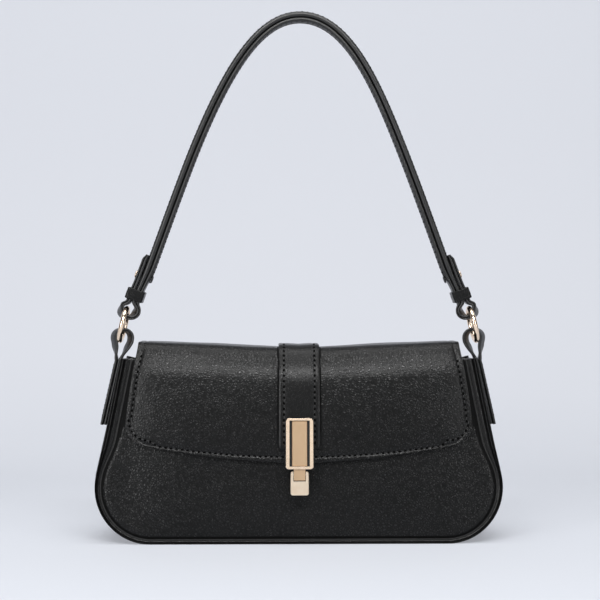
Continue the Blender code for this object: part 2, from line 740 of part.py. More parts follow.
def strip(name, route, width, finish):
    """A leather strip along a route of (x, z, thickness), across Y, with eased edges."""
    points = [Vector((x, z)) for x, z, _ in route]
    stations = []
    for i, (x, z, thickness) in enumerate(route):
        before, after = points[max(0, i - 1)], points[min(len(points) - 1, i + 1)]
        along = (after - before).normalized()
        normal = Vector((-along.y, along.x))
        half, ease = thickness / 2, thickness * STRIP_EASE_SHARE
        profile = [
            (-half, width / 2 - ease),
            (-half + ease, width / 2),
            (half - ease, width / 2),
            (half, width / 2 - ease),
            (half, -width / 2 + ease),
            (half - ease, -width / 2),
            (-half + ease, -width / 2),
            (-half, -width / 2 + ease),
        ]
        stations.append([(x + normal.x * out, y, z + normal.y * out) for out, y in profile])
    return add_object(name, loft(stations), finish)


def gusset_side(z):
    """Half width over the gusset's bulge, on the bag's middle plane."""
    seam_z = z - side_normal[1] * (SEAM_BASE_Z + GUSSET_BULGE)
    return seam_half_width(z, gusset_out(0, 0, seam_z))


def side_tab(name, side, finish):
    """A strip folded round the ring's foot, with both ends sewn on the gusset."""
    half = SIDE_TAB_LEATHER / 2
    hole = SIDE_TAB_HOLE_HALF_WIDTH + half
    layer = SIDE_TAB_LEATHER + SIDE_TAB_FOLD_GAP
    top = RING_CENTRE_Z - SIDE_TAB_REACH - half
    centre = (RING_CENTRE_X + SIDE_TAB_HOLE_SHIFT, top - hole)
    steps = 4

    def leg(extra):
        made = []
        for i in range(steps + 1):
            z = SIDE_TAB_LOW_Z + (SIDE_TAB_NECK_Z - OVERRUN - SIDE_TAB_LOW_Z) * i / steps
            made.append((gusset_side(z) + extra, z, SIDE_TAB_LEATHER))
        return made

    inner = leg(SIDE_TAB_STANDOFF + half)
    outer = leg(SIDE_TAB_STANDOFF + half + layer)
    loop = []
    for x, z in arc(centre, hole, math.radians(-25), math.radians(205), 14):
        drop = SIDE_TAB_HOLE_DROP * smooth((centre[1] - z) / hole)
        loop.append((x, z - drop, SIDE_TAB_LEATHER))
    route = outer + loop + inner[::-1]
    return strip(name, [(side * x, z, t) for x, z, t in route], SIDE_TAB_WIDTH, finish)


# Strap ends, in a frame on the ring's centre: along up the leaning leg, across in towards the bag
strap_along = Vector((-math.sin(STRAP_LEAN), math.cos(STRAP_LEAN)))
strap_across = Vector((-math.cos(STRAP_LEAN), -math.sin(STRAP_LEAN)))
ring_point = Vector((RING_CENTRE_X, RING_CENTRE_Z))
loop_wall = STRAP_LOOP_HALF_WIDTH + STRAP_END_THICKNESS / 2
loop_centre = STRAP_LOOP_INSIDE + STRAP_LOOP_HALF_WIDTH
loop_top = loop_centre + STRAP_LOOP_STRAIGHT
keeper_low = KEEPER_ALONG - KEEPER_HEIGHT / 2
keeper_high = KEEPER_ALONG + KEEPER_HEIGHT / 2


def strap_place(along, across):
    """(x, z) on the right side from the strap end's own lengths."""
    point = ring_point + strap_along * along + strap_across * across
    return point.x, point.y


def strap_thickness(along):
    """The strap thins towards its loop."""
    low = STRAP_KEEPER_THICKNESS - STRAP_END_THICKNESS
    high = STRAP_THICKNESS - STRAP_KEEPER_THICKNESS
    to_keeper = smooth((along - loop_top) / (keeper_low - loop_top))
    to_leg = smooth((along - keeper_high) / (STRAP_LEG_ALONG - keeper_high))
    return STRAP_END_THICKNESS + low * to_keeper + high * to_leg


def leg_across(along):
    """Middle of the strap, which draws in from the loop to the keeper."""
    to_keeper = smooth((along - loop_top) / (keeper_low - loop_top))
    to_leg = smooth((along - keeper_low) / (STRAP_LEG_ALONG - keeper_low))
    drawn = loop_wall + (STRAP_KEEPER_ACROSS - loop_wall) * to_keeper
    return drawn + (STRAP_LEG_ACROSS - STRAP_KEEPER_ACROSS) * to_leg


def tail_thickness(along):
    """The tail thickens above the loop and thins again at its tip."""
    to_keeper = smooth((along - loop_top) / (keeper_low - loop_top))
    tip = smooth((TAIL_ALONG - along) / TAIL_TIP_LENGTH)
    full = STRAP_END_THICKNESS + (TAIL_THICKNESS - STRAP_END_THICKNESS) * to_keeper
    return full * (TAIL_TIP_SHARE + (1 - TAIL_TIP_SHARE) * tip)


def tail_across(along):
    """Middle of the tail, which lies on the strap from the keeper up."""
    to_keeper = smooth((along - loop_top) / (keeper_low - loop_top))
    laid = leg_across(along) - strap_thickness(along) / 2 - TAIL_GAP - tail_thickness(along) / 2
    return -loop_wall + (laid + loop_wall) * to_keeper


def strap_route():
    """From the right tail's end, round the right ring, over the crown and down to the left tail."""
    half = []
    tail_stops = [TAIL_ALONG, TAIL_ALONG - TAIL_TIP_LENGTH / 3, TAIL_ALONG - TAIL_TIP_LENGTH]
    tail_stops += [(tail_stops[-1] * 2 + keeper_high) / 3, (tail_stops[-1] + keeper_high * 2) / 3]
    turn_stops = [keeper_high, KEEPER_ALONG, keeper_low]
    turn_stops += [keeper_low + (loop_top - keeper_low) * i / 4 for i in range(1, 5)]
    for along in tail_stops + turn_stops + [loop_centre]:
        half.append((*strap_place(along, tail_across(along)), tail_thickness(along)))
    for i in range(1, 12):
        angle = math.pi + math.pi * i / 12
        along = loop_centre + loop_wall * math.sin(angle)
        half.append((*strap_place(along, loop_wall * math.cos(angle)), STRAP_END_THICKNESS))
    leg_stops = [loop_centre] + turn_stops[::-1]
    leg_stops += [keeper_high + (STRAP_LEG_ALONG - keeper_high) * i / 4 for i in range(1, 4)]
    for along in leg_stops:
        half.append((*strap_place(along, leg_across(along)), strap_thickness(along)))
    start = Vector(strap_place(STRAP_LEG_ALONG, STRAP_LEG_ACROSS))
    rise = STRAP_CROWN_Z - start.y
    low_handle = start + strap_along * (rise * STRAP_RISE_SHARE)
    high_handle = Vector((start.x * STRAP_CROWN_SHARE, STRAP_CROWN_Z))
    crown_point = Vector((0, STRAP_CROWN_Z))
    arch_steps = 16
    for i in range(arch_steps):
        t = i / arch_steps
        point = (
            start * (1 - t) ** 3
            + low_handle * (3 * t * (1 - t) ** 2)
            + high_handle * (3 * t * t * (1 - t))
            + crown_point * t**3
        )
        half.append((point.x, point.y, STRAP_THICKNESS))
    other = [(-x, z, thickness) for x, z, thickness in reversed(half)]
    return half + [(0.0, STRAP_CROWN_Z, STRAP_THICKNESS)] + other


def end_frame(side):
    """The matrix of a strap end: X outwards across, Y to the back, Z along the leg."""
    out = -strap_across
    return Matrix(
        (
            (side * out.x, 0, side * strap_along.x, side * ring_point.x),
            (0, 1, 0, 0),
            (out.y, 0, strap_along.y, ring_point.y),
            (0, 0, 0, 1),
        )
    )


def keeper(name, side, finish):
    """The leather band that holds the tail against the strap."""
    reach = STRAP_WIDTH / 2 + FIT_GAP
    stops = (keeper_low, keeper_high)
    high = max(tail_thickness(stop) / 2 - tail_across(stop) for stop in stops) + FIT_GAP
    low = -max(leg_across(stop) + strap_thickness(stop) / 2 for stop in stops) - FIT_GAP
    middle = (high + low) / 2
    outline = []
    for extra in (0.0, KEEPER_THICKNESS):
        width, depth = high - low + 2 * extra, 2 * (reach + extra)
        radius = KEEPER_THICKNESS / 3 + extra
        outline.append([(x + middle, y) for x, y in rounded_rectangle(width, depth, radius, 3)])
    half = KEEPER_HEIGHT / 2
    turn = end_frame(side)
    body = bmesh.new()
    loops = []
    for points, z in ((outline[1], -half), (outline[1], half), (outline[0], half), (outline[0], -half)):
        loops.append([body.verts.new(turn @ Vector((x, y, KEEPER_ALONG + z))) for x, y in points])
    count = len(loops[0])
    for first, second in zip(loops, loops[1:] + loops[:1]):
        for i in range(count):
            j = (i + 1) % count
            body.faces.new((first[i], first[j], second[j], second[i]))
    return add_object(name, body, finish)


def turned_x(turn, rings, along, steps=16):
    """A turned body on a line across a strap end, from (radius, across) rings."""
    stations = []
    for radius, x in rings:
        stations.append([turn @ Vector((x, y, z)) for y, z in circle((0, along), radius, steps)])
    return loft(stations)


def stud_parts(name, side, strap, finish):
    """A stud through the tail and the strap, and the cap on the strap's inner face."""
    turn = end_frame(side)
    reach = (STUD_ALONG - STUD_HEAD_RADIUS, STUD_ALONG, STUD_ALONG + STUD_HEAD_RADIUS)
    tail_face = max(tail_thickness(along) / 2 - tail_across(along) for along in reach)
    strap_face = -max(leg_across(along) + strap_thickness(along) / 2 for along in reach)
    head_low = tail_face + FIT_GAP
    head_high = head_low + STUD_HEAD_THICKNESS
    cap_high = strap_face - FIT_GAP
    cap_low = cap_high - STUD_HEAD_THICKNESS
    dome = STUD_HEAD_RADIUS * STUD_DOME_SHARE
    post_end = cap_high + FIT_GAP
    stud = turned_x(
        turn,
        [
            (STUD_POST_RADIUS, post_end),
            (STUD_POST_RADIUS, head_low),
            (STUD_HEAD_RADIUS, head_low),
            (STUD_HEAD_RADIUS, (head_low + head_high) / 2),
            (dome, head_high),
        ],
        STUD_ALONG,
    )
    made = [add_object(f"{name}_stud", stud, finish)]
    cap = turned_x(
        turn,
        [(dome, cap_low), (STUD_HEAD_RADIUS, (cap_low + cap_high) / 2), (STUD_HEAD_RADIUS, cap_high)],
        STUD_ALONG,
    )
    made.append(add_object(f"{name}_stud_cap", cap, finish))
    bore = STUD_POST_RADIUS + HOLE_GAP
    hole = turned_x(turn, [(bore, strap_face - OVERRUN), (bore, head_low + OVERRUN)], STUD_ALONG)
    cut(strap, cutter_from(f"{name}_stud_hole", hole))
    return made


def hang_on_axis(name, place, objects):
    """Hangs pieces on an empty that lies on their joint's axis."""
    axis = bpy.data.objects.new(name, None)
    axis.location = place
    bpy.context.scene.collection.objects.link(axis)
    bpy.context.view_layer.update()
    for obj in objects:
        world = obj.matrix_world.copy()
        obj.parent = axis
        obj.matrix_parent_inverse = axis.matrix_world.inverted()
        obj.matrix_world = world


clear_scene()
leather = material("black_leather", (0.018, 0.018, 0.020), 0.45, 0.0)
fabric = material("lining_fabric", (0.05, 0.045, 0.042), 0.9, 0.0)
board = material("board", (0.30, 0.24, 0.17), 0.8, 0.0)
gold = material("pale_gold", (0.90, 0.72, 0.52), 0.18, 1.0)
satin_gold = material("satin_gold", (0.80, 0.62, 0.44), 0.38, 1.0)
steel = material("steel", (0.55, 0.55, 0.56), 0.35, 1.0)

panel("front_panel", -1, leather)
panel("back_panel", 1, leather)
welt("front_welt", -1, leather)
welt("back_welt", 1, leather)
gusset(leather)
lining(fabric)
base_board(board)
facing("front_facing", -1, leather)
facing("back_facing", 1, leather)
magnet_parts(steel, fabric)
flap_back_leaf(leather)

flap_lining = flap_layer("flap_lining", 0.0, FLAP_LINING_THICKNESS, leather)
flap_outer = flap_layer("flap_outer", FLAP_LINING_THICKNESS + FIT_GAP, FLAP_THICKNESS, leather)
tab = closure_tab(leather)
frame = clasp_frame(gold)
bar = clasp_bar(satin_gold)
plate = clasp_back_plate(steel)
drill_for_screws([flap_lining, flap_outer, tab, frame, bar, plate])
flap_pieces = [flap_lining, flap_outer, tab, frame, bar, plate]
flap_pieces.append(clasp_screw("lower_clasp_screw", screw_heights[0], steel))
flap_pieces.append(clasp_screw("upper_clasp_screw", screw_heights[1], steel))
flap_pieces.append(tongue_pin(steel))
hang_on_axis("flap_axis", (0, hinge_y, HINGE_Z), flap_pieces)
tongue_parts(gold, steel)

strap_object = strip("strap", strap_route(), STRAP_WIDTH, leather)
strap_pieces = [strap_object]
for side, side_name in ((-1, "left"), (1, "right")):
    side_tab(f"{side_name}_side_tab", side, leather)
    ring(f"{side_name}_ring", side, gold)
    strap_pieces.append(keeper(f"{side_name}_keeper", side, leather))
    strap_pieces += stud_parts(side_name, side, strap_object, gold)
hang_on_axis("strap_axis", (0, 0, RING_CENTRE_Z), strap_pieces)
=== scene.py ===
"""Looks of a black leather flap bag, dressed over its CAD frame. Metres, +Z up, front to -Y."""

import math

import bmesh
import bpy
from mathutils import Matrix, Vector, noise


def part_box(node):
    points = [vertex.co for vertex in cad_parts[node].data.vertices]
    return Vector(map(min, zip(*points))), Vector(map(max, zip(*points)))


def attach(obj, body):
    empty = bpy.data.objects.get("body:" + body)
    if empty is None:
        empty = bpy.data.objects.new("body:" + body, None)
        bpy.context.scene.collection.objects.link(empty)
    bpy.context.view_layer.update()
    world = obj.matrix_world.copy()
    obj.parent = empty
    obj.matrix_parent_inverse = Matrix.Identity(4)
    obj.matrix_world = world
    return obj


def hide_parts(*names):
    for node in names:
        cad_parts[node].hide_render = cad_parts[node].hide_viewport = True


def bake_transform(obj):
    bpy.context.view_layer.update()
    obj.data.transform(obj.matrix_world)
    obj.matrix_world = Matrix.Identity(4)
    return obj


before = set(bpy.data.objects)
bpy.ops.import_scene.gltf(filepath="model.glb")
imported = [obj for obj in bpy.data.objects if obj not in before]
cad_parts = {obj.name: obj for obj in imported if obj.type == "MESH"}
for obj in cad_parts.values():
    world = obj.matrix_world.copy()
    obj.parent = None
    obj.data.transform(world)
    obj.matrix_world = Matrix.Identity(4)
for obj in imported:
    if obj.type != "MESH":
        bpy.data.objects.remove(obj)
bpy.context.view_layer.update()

# Sizes shared with the CAD model
SEAM_BASE_Z = 0.0059
SEAM_TOP_Z = 0.118
SEAM_TOP_HALF_WIDTH = 0.110
CORNER_RADIUS = 0.030
CORNER_CENTRE_X = 0.0952
BASE_DEPTH = 0.065
TOP_DEPTH = 0.040
PANEL_THICKNESS = 0.0022
PANEL_CROWN = 0.0028
GUSSET_THICKNESS = 0.0020
GUSSET_BULGE = 0.0036
GUSSET_TOP_BULGE_SHARE = 0.25
GUSSET_TOP_DROP = 0.0015
LINING_THICKNESS = 0.0008
LINING_STANDOFF = 0.0004
BOARD_THICKNESS = 0.0014
FACING_HEIGHT = 0.022
FACING_THICKNESS = 0.0011
FLAP_STANDOFF = 0.0018
FLAP_STACK = 0.0026
FLAP_TOP_Z = 0.1270
FLAP_DIP = 0.0046
FLAP_FOLD_RADIUS = 0.0085
FLAP_TOP_HALF_WIDTH = 0.1048
FLAP_LOW_HALF_WIDTH = 0.1132
FLAP_CORNER_RADIUS = 0.016
FLAP_EDGE_CENTRE_Z = 0.0525
FLAP_EDGE_RISE = 0.0090
HINGE_Z = 0.1205
LEAF_LOW_Z = 0.094
TAB_HALF_WIDTH = 0.0130
TAB_THICKNESS = 0.0020
TAB_LOW_Z = 0.0603
TAB_CORNER_RADIUS = 0.0038
RING_CENTRE_X = 0.1163
RING_CENTRE_Z = 0.1407
RING_OUTER_RADIUS = 0.0127
RING_WIRE_RADIUS = 0.00175
RING_LEAN = math.radians(12.5)
SIDE_TAB_WIDTH = 0.0090
SIDE_TAB_LEATHER = 0.0019
SIDE_TAB_HOLE_HALF_WIDTH = 0.0046
SIDE_TAB_HOLE_SHIFT = 0.0008
SIDE_TAB_REACH = 0.0022
SIDE_TAB_NECK_Z = 0.1190
SIDE_TAB_HOLE_DROP = 0.0022
SIDE_TAB_STANDOFF = 0.0005
SIDE_TAB_LOW_Z = 0.0745
STRAP_WIDTH = 0.0110
STRAP_THICKNESS = 0.0064
STRAP_KEEPER_THICKNESS = 0.0048
STRAP_END_THICKNESS = 0.0029
STRAP_CROWN_Z = 0.3453
STRAP_RISE_SHARE = 0.60
STRAP_CROWN_SHARE = 0.41
STRAP_LEAN = math.radians(20)
STRAP_LOOP_HALF_WIDTH = 0.0036
STRAP_LOOP_INSIDE = 0.0066
STRAP_LOOP_STRAIGHT = 0.0020
STRAP_KEEPER_ACROSS = 0.0026
STRAP_LEG_ACROSS = 0.0041
STRAP_LEG_ALONG = 0.0440
TAIL_THICKNESS = 0.0034
TAIL_ALONG = 0.0490
TAIL_TIP_LENGTH = 0.0040
TAIL_TIP_SHARE = 0.55
TAIL_GAP = 0.0004
KEEPER_ALONG = 0.0212
KEEPER_HEIGHT = 0.0076
KEEPER_THICKNESS = 0.0013
FIT_GAP = 0.0003
EDGE_GAP = 0.00015
CLASP_FACE = 0.04727
PATCH_HALF_WIDTH = 0.0089

# Relief of the leather: the height of each feature, and its reach or the size of its waves
PANEL_SEAM_ROLL = (0.0027, 0.0024)
PANEL_TOP_ROLL = (0.0008, 0.0008)
PANEL_WAVES = (0.00035, 0.030)
PANEL_RIPPLES = (0.00016, 0.009)
GUSSET_CREASE = (0.0004, 0.1)
GUSSET_WAVES = (0.0002, 0.014)
FLAP_VALLEY = (-0.00036, 0.0008)
FLAP_BAND = (-0.0002, 0.0007)
FLAP_TUCK = (-0.00055, 0.0035)
FLAP_WAVES = (0.00042, 0.034)
FLAP_RIPPLES = (0.00014, 0.008)
FLAP_TOP_WAVES = (0.0003, 0.022)
LEAF_VALLEY = (-0.0003, 0.0007)
TAB_VALLEY = (-0.00028, 0.0006)
TAB_BAND = (-0.0003, 0.0006)
LINING_FOLDS = (0.00045, 0.016)
FACING_VALLEY = (0.00025, 0.0008)
FACING_WAVES = (0.00012, 0.015)

# Sizes of the finer leatherwork
FOLD_DROP = 0.0195
SEAM_REACH = 0.0040
SEAM_REACH_LOW_Z = 0.043
SEAM_REACH_HIGH_Z = 0.067
# Width of the near-black band of painted shade along the panel's seam, low and high, and the heights over
# which it widens
SEAM_SHADE_LOW = 0.0033
SEAM_SHADE_HIGH = 0.0051
SEAM_SHADE_LOW_Z = 0.058
SEAM_SHADE_HIGH_Z = 0.076
WELT_CORNER_SHARE = 0.12
WELT_REACH_SHARE = 0.9
GUSSET_CREASE_LOW_Z = 0.07
GUSSET_CREASE_SHARE = 0.62
CALM_EDGE = 0.012
PILLOW_DEPTH = 0.0012
PILLOW_START = 0.0036
PILLOW_REACH = 0.0075
FLAP_STITCH_TOP_DROP = 0.006
FLAP_STITCH_EASE = 0.006
LEAF_STITCH_TOP_Z = 0.1175
LEAF_EASE_OUTSIDE = 0.009
LEAF_EASE_INSIDE = 0.0024
LEAF_HINGE_GAP = 0.0006
# Width of the line of painted shade on the flap beside the tab
TAB_SHADE_WIDTH = 0.0012
TAB_CLEAR = 0.0032
TAB_CROWN = 0.0002
TAB_CALM_EDGE = 0.006
SIDE_TAB_NECK_GAP = 0.002
SIDE_TAB_HOLE_TURN = math.radians(25)
SIDE_TAB_SKEW = 0.46
SIDE_TAB_SKEW_RISE = 1.6
STRAP_LOOP_SKEW = 0.42
STRAP_SKEW_RISE = 0.008
STRAP_SKEW_GAP = 0.004
PLY_ROUND_SHARE = 0.8
CROWN_DRIFT = 0.0012
CROWN_DRIFT_LOW_Z = 0.25
STRIP_STEP = 0.0012
POCKET_LIP = 0.0006
POCKET_HALF_WIDTH = 0.0066
LINING_CORNER_RADIUS = 0.004
LINING_EASE = 0.02
PATCH_FRONT = 0.0001
PATCH_BACK = 0.00016
PATCH_PUFF = 0.00006
STITCH_PITCH = 0.0036
FINE_STITCH_PITCH = 0.0034
STITCH_LENGTH = 0.0026
STITCH_RADIUS = 0.00034
STITCH_SUNK = 0.00012
STITCH_STEP = 0.001
HOLE_APEX = 0.00042
HOLE_DEPTH = 0.0003
HOLE_RIM = 0.00014
HOLE_HALF_LENGTH = 0.00095
HOLE_HALF_WIDTH = 0.00078
FLAP_STITCH_INSET = 0.0033
TAB_STITCH_INSET = 0.0031
FACING_STITCH_INSET = 0.0025
FACING_STITCH_REACH = 0.108
FACING_STITCH_SUNK = 0.0002
STRAP_STITCH_INSET = 0.0026
SIDE_TAB_STITCH_INSET = 0.0019

# Steps across and along the meshes
PANEL_EDGE_STEPS = [0.0, 0.0005, 0.001, 0.0016, 0.0023, 0.0032, 0.0042, 0.0050, 0.0068]
PANEL_TOP_STEPS = [0.0012, 0.0008, 0.0004, 0.0]
FLAP_EDGE_STEPS = [0.0, 0.0005, 0.0011, 0.0018, 0.0024, 0.0028]
FLAP_EDGE_STEPS += [0.0033, 0.0038, 0.0043, 0.0052, 0.0066, 0.0085]
FLAP_CORNER_STEP = 0.0098
TAB_EDGE_STEPS = [0.0, 0.0004, 0.0009, 0.0015, 0.0021, 0.0026, 0.0031, 0.0036, 0.0042]
TOP_ROWS = 10
FOLD_ROWS = 9
FRONT_ROWS = 39
FOLD_START = TOP_ROWS + FOLD_ROWS

body_lean = math.atan((BASE_DEPTH - TOP_DEPTH) / 2 / SEAM_TOP_Z)
front_normal = Vector((0, -math.cos(body_lean), math.sin(body_lean)))


# Materials
def new_material(name):
    made = bpy.data.materials.new(name)
    made.use_nodes = True
    return made, made.node_tree, made.node_tree.nodes["Principled BSDF"]


def node(tree, kind, inputs=None, **settings):
    """A shader node with its settings and socket values, or links where a value is a socket."""
    made = tree.nodes.new("ShaderNode" + kind)
    for key, value in settings.items():
        setattr(made, key, value)
    for key, value in (inputs or {}).items():
        feed(made, key, value)
    return made


def feed(shader, socket, value):
    """Sets a socket of a node, or links it where the value is a socket."""
    if isinstance(value, bpy.types.NodeSocket):
        shader.id_data.links.new(value, shader.inputs[socket])
    else:
        shader.inputs[socket].default_value = value


def object_place(tree):
    return node(tree, "TexCoord").outputs["Object"]


def maths(tree, operation, *values):
    return node(tree, "Math", dict(enumerate(values)), operation=operation).outputs[0]


def vector_maths(tree, operation, *values):
    return node(tree, "VectorMath", dict(enumerate(values)), operation=operation).outputs


def mapped(tree, value, span, to=(0.0, 1.0), kind="LINEAR"):
    """A value carried from one range over to another."""
    places = {"Value": value, "From Min": span[0], "From Max": span[1], "To Min": to[0], "To Max": to[1]}
    return node(tree, "MapRange", places, interpolation_type=kind).outputs["Result"]


def cloudy(tree, place, scale, detail):
    return node(tree, "TexNoise", {"Vector": place, "Scale": scale, "Detail": detail}).outputs


def add_bump(tree, shader, height, strength, distance):
    bump = node(tree, "Bump", {"Height": height, "Strength": strength, "Distance": distance})
    feed(shader, "Normal", bump.outputs["Normal"])


def ramp(tree, factor, stops):
    """A colour ramp, its stops given as (place, colour)."""
    made = node(tree, "ValToRGB", {"Fac": factor})
    elements = made.color_ramp.elements
    while len(elements) < len(stops):
        elements.new(0.5)
    for element, (place, colour) in zip(elements, stops):
        element.position = place
        element.color = (*colour, 1)
    return made.outputs["Color"]


def grey(level):
    return (level, level, level)


def leather(name, dark, light, cell, depth, rough):
    """Pebbled leather: cell is the grain's size in metres and depth its bump."""
    made, tree, shader = new_material(name)
    place = object_place(tree)
    warp = cloudy(tree, place, scale=0.6 / cell, detail=2.0)["Color"]
    bent = vector_maths(tree, "MULTIPLY", warp, (cell, cell, cell))[0]
    grid = {"Vector": vector_maths(tree, "ADD", place, bent)[0], "Scale": 1 / cell, "Randomness": 1.0}
    cells = node(tree, "TexVoronoi", grid, feature="DISTANCE_TO_EDGE").outputs["Distance"]
    pebble = mapped(tree, cells, (0.0, 0.42), kind="SMOOTHSTEP")
    pores = cloudy(tree, place, scale=0.55 / cell, detail=3.0)["Fac"]
    patches = cloudy(tree, place, scale=38.0, detail=3.0)["Fac"]
    height = maths(tree, "MULTIPLY_ADD", pores, 1.6, pebble)
    add_bump(tree, shader, height, strength=1.0, distance=depth)
    # Colour and roughness follow random patches of tone and the pebbles: the darker creases between pebbles
    # are painted shade
    patches_and_creases = maths(tree, "MULTIPLY_ADD", patches, 0.5, pebble)
    feed(shader, "Base Color", ramp(tree, patches_and_creases, [(0.15, dark), (0.9, light)]))
    feed(shader, "Roughness", mapped(tree, patches_and_creases, (0.1, 1.4), rough[::-1]))
    feed(shader, "Specular IOR Level", mapped(tree, pebble, (0.0, 1.0), (0.17, 0.27)))
    return made


def smooth_coat(name, dark, light, rough, shine=None):
    """Burnished or painted leather edge: smooth, with a fine uneven sheen."""
    made, tree, shader = new_material(name)
    blots = cloudy(tree, object_place(tree), scale=420.0, detail=3.0)["Fac"]
    feed(shader, "Base Color", ramp(tree, blots, [(0.35, dark), (0.7, light)]))
    feed(shader, "Roughness", mapped(tree, blots, (0.3, 0.7), (rough, rough + 0.14)))
    add_bump(tree, shader, blots, strength=0.4, distance=0.00005)
    if shine is not None:
        feed(shader, "Specular IOR Level", shine)
    return made


def woven(name, dark, light, pitch):
    """Woven cloth: two crossed sets of ribs."""
    made, tree, shader = new_material(name)
    rib = {"Scale": 0.314 / pitch, "Distortion": 0.6, "Detail": 1.0, "Detail Scale": 2.0}
    rib["Vector"] = object_place(tree)
    ribs = [node(tree, "TexWave", rib, bands_direction=way).outputs["Fac"] for way in ("X", "Z")]
    height = maths(tree, "MULTIPLY", *ribs)
    feed(shader, "Base Color", ramp(tree, height, [(0.0, dark), (0.8, light)]))
    add_bump(tree, shader, height, strength=0.6, distance=pitch / 4)
    feed(shader, "Roughness", 0.85)
    feed(shader, "Sheen Weight", 0.25)
    return made


def metal(name, dark, light, rough, stretch):
    """Plated metal: stretch draws its fine scratches out along Z."""
    made, tree, shader = new_material(name)
    place = object_place(tree)
    drawn = node(tree, "Mapping", {"Vector": place, "Scale": (1.0, 1.0, 1 / stretch)}).outputs[0]
    marks = cloudy(tree, drawn, scale=2600.0, detail=4.0)["Fac"]
    cloud = cloudy(tree, place, scale=260.0, detail=2.0)["Fac"]
    feed(shader, "Base Color", ramp(tree, cloud, [(0.3, dark), (0.7, light)]))
    feed(shader, "Roughness", mapped(tree, marks, (0.3, 0.7), (rough * 0.92, rough * 1.1)))
    add_bump(tree, shader, marks, strength=0.05, distance=0.00001)
    feed(shader, "Metallic", 1.0)
    return made


def with_pocket_shade(name, kind):
    """The clasp frame's plate: gold outside, and painted shade in the pocket round the bar: black, not
    metallic.
    """
    made = kind.copy()
    made.name = name
    tree = made.node_tree
    shader = tree.nodes["Principled BSDF"]
    place = object_place(tree)
    out = vector_maths(tree, "DOT_PRODUCT", place, tuple(front_normal))["Value"]
    low = maths(tree, "LESS_THAN", out, CLASP_FACE - POCKET_LIP)
    beside = maths(tree, "ABSOLUTE", node(tree, "SeparateXYZ", {"Vector": place}).outputs["X"])
    both = maths(tree, "MULTIPLY", low, maths(tree, "LESS_THAN", beside, POCKET_HALF_WIDTH))
    plating = shader.inputs["Base Color"].links[0].from_socket
    pocket_shade = node(tree, "Mix", {0: both}, data_type="RGBA")
    feed(pocket_shade, "A", plating)
    feed(pocket_shade, "B", (*grey(0.004), 1))
    feed(shader, "Metallic", maths(tree, "SUBTRACT", 1.0, both))
    feed(shader, "Base Color", pocket_shade.outputs["Result"])
    return made


grain = leather("pebbled_leather", grey(0.0015), grey(0.0065), 0.00165, 0.000095, (0.24, 0.36))
strap_grain = leather("strap_leather", grey(0.0020), grey(0.0060), 0.00100, 0.00004, (0.25, 0.36))
suede = leather("flap_lining_leather", grey(0.010), grey(0.020), 0.0006, 0.00004, (0.6, 0.75))
edge_paint = smooth_coat("edge_paint", grey(0.0015), grey(0.004), 0.34)
# A lighter copy of the black edge paint for the flap's rim: its lighter colour is a painted highlight
flap_edge_paint_highlit = smooth_coat("flap_edge_paint_highlit", grey(0.012), grey(0.024), 0.28)
thread = smooth_coat("thread", grey(0.004), grey(0.009), 0.48)
# Near-black, almost unreflective colour on the needle holes: painted shade
needle_hole_shade = smooth_coat("needle_hole_shade", grey(0.0005), grey(0.0015), 0.85, 0.03)
# Near-black matte colour: painted shade, in the seam's valley and in the line beside the tab
painted_shade = smooth_coat("painted_shade", grey(0.0005), grey(0.0015), 0.80, 0.15)
cloth = woven("lining_cloth", (0.016, 0.014, 0.013), (0.045, 0.040, 0.037), 0.0005)
gold = metal("polished_gold", (0.90, 0.71, 0.53), (0.96, 0.77, 0.60), 0.16, 1.0)
satin = metal("satin_gold", (0.68, 0.475, 0.295), (0.70, 0.49, 0.31), 0.34, 80.0)
# A lighter copy of the polished gold for the tongue: its lighter colour is painted light
tongue_gold_highlit = metal("tongue_gold_highlit", (0.97, 0.79, 0.60), (1.0, 0.84, 0.66), 0.30, 1.0)
frame_gold = with_pocket_shade("frame_gold", gold)
steel = metal("plain_steel", (0.42, 0.42, 0.43), (0.58, 0.58, 0.59), 0.30, 6.0)
fibreboard = smooth_coat("fibreboard", (0.22, 0.17, 0.11), (0.34, 0.27, 0.19), 0.75)


# Meshes
def add_piece(name, form, materials, body, replaced=(), sharp=50):
    """A closed piece from its points and its faces, each face given as (corners, material index)."""
    points, faces = form
    mesh = bpy.data.meshes.new(name)
    mesh.from_pydata([tuple(p) for p in points], [], [corners for corners, _ in faces])
    for kind in materials:
        mesh.materials.append(kind)
    for polygon, (_, index) in zip(mesh.polygons, faces):
        polygon.material_index = index
    mesh.validate()
    mesh.shade_smooth()
    mesh.set_sharp_from_angle(angle=math.radians(sharp))
    facing_out(mesh)
    obj = bpy.data.objects.new(name, mesh)
    bpy.context.scene.collection.objects.link(obj)
    if replaced:
        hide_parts(*replaced)
    if body:
        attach(obj, body)
    return obj


def facing_out(mesh):
    """Turns a closed mesh's faces outwards."""
    made = bmesh.new()
    made.from_mesh(mesh)
    bmesh.ops.recalc_face_normals(made, faces=made.faces[:])
    made.to_mesh(mesh)
    made.free()


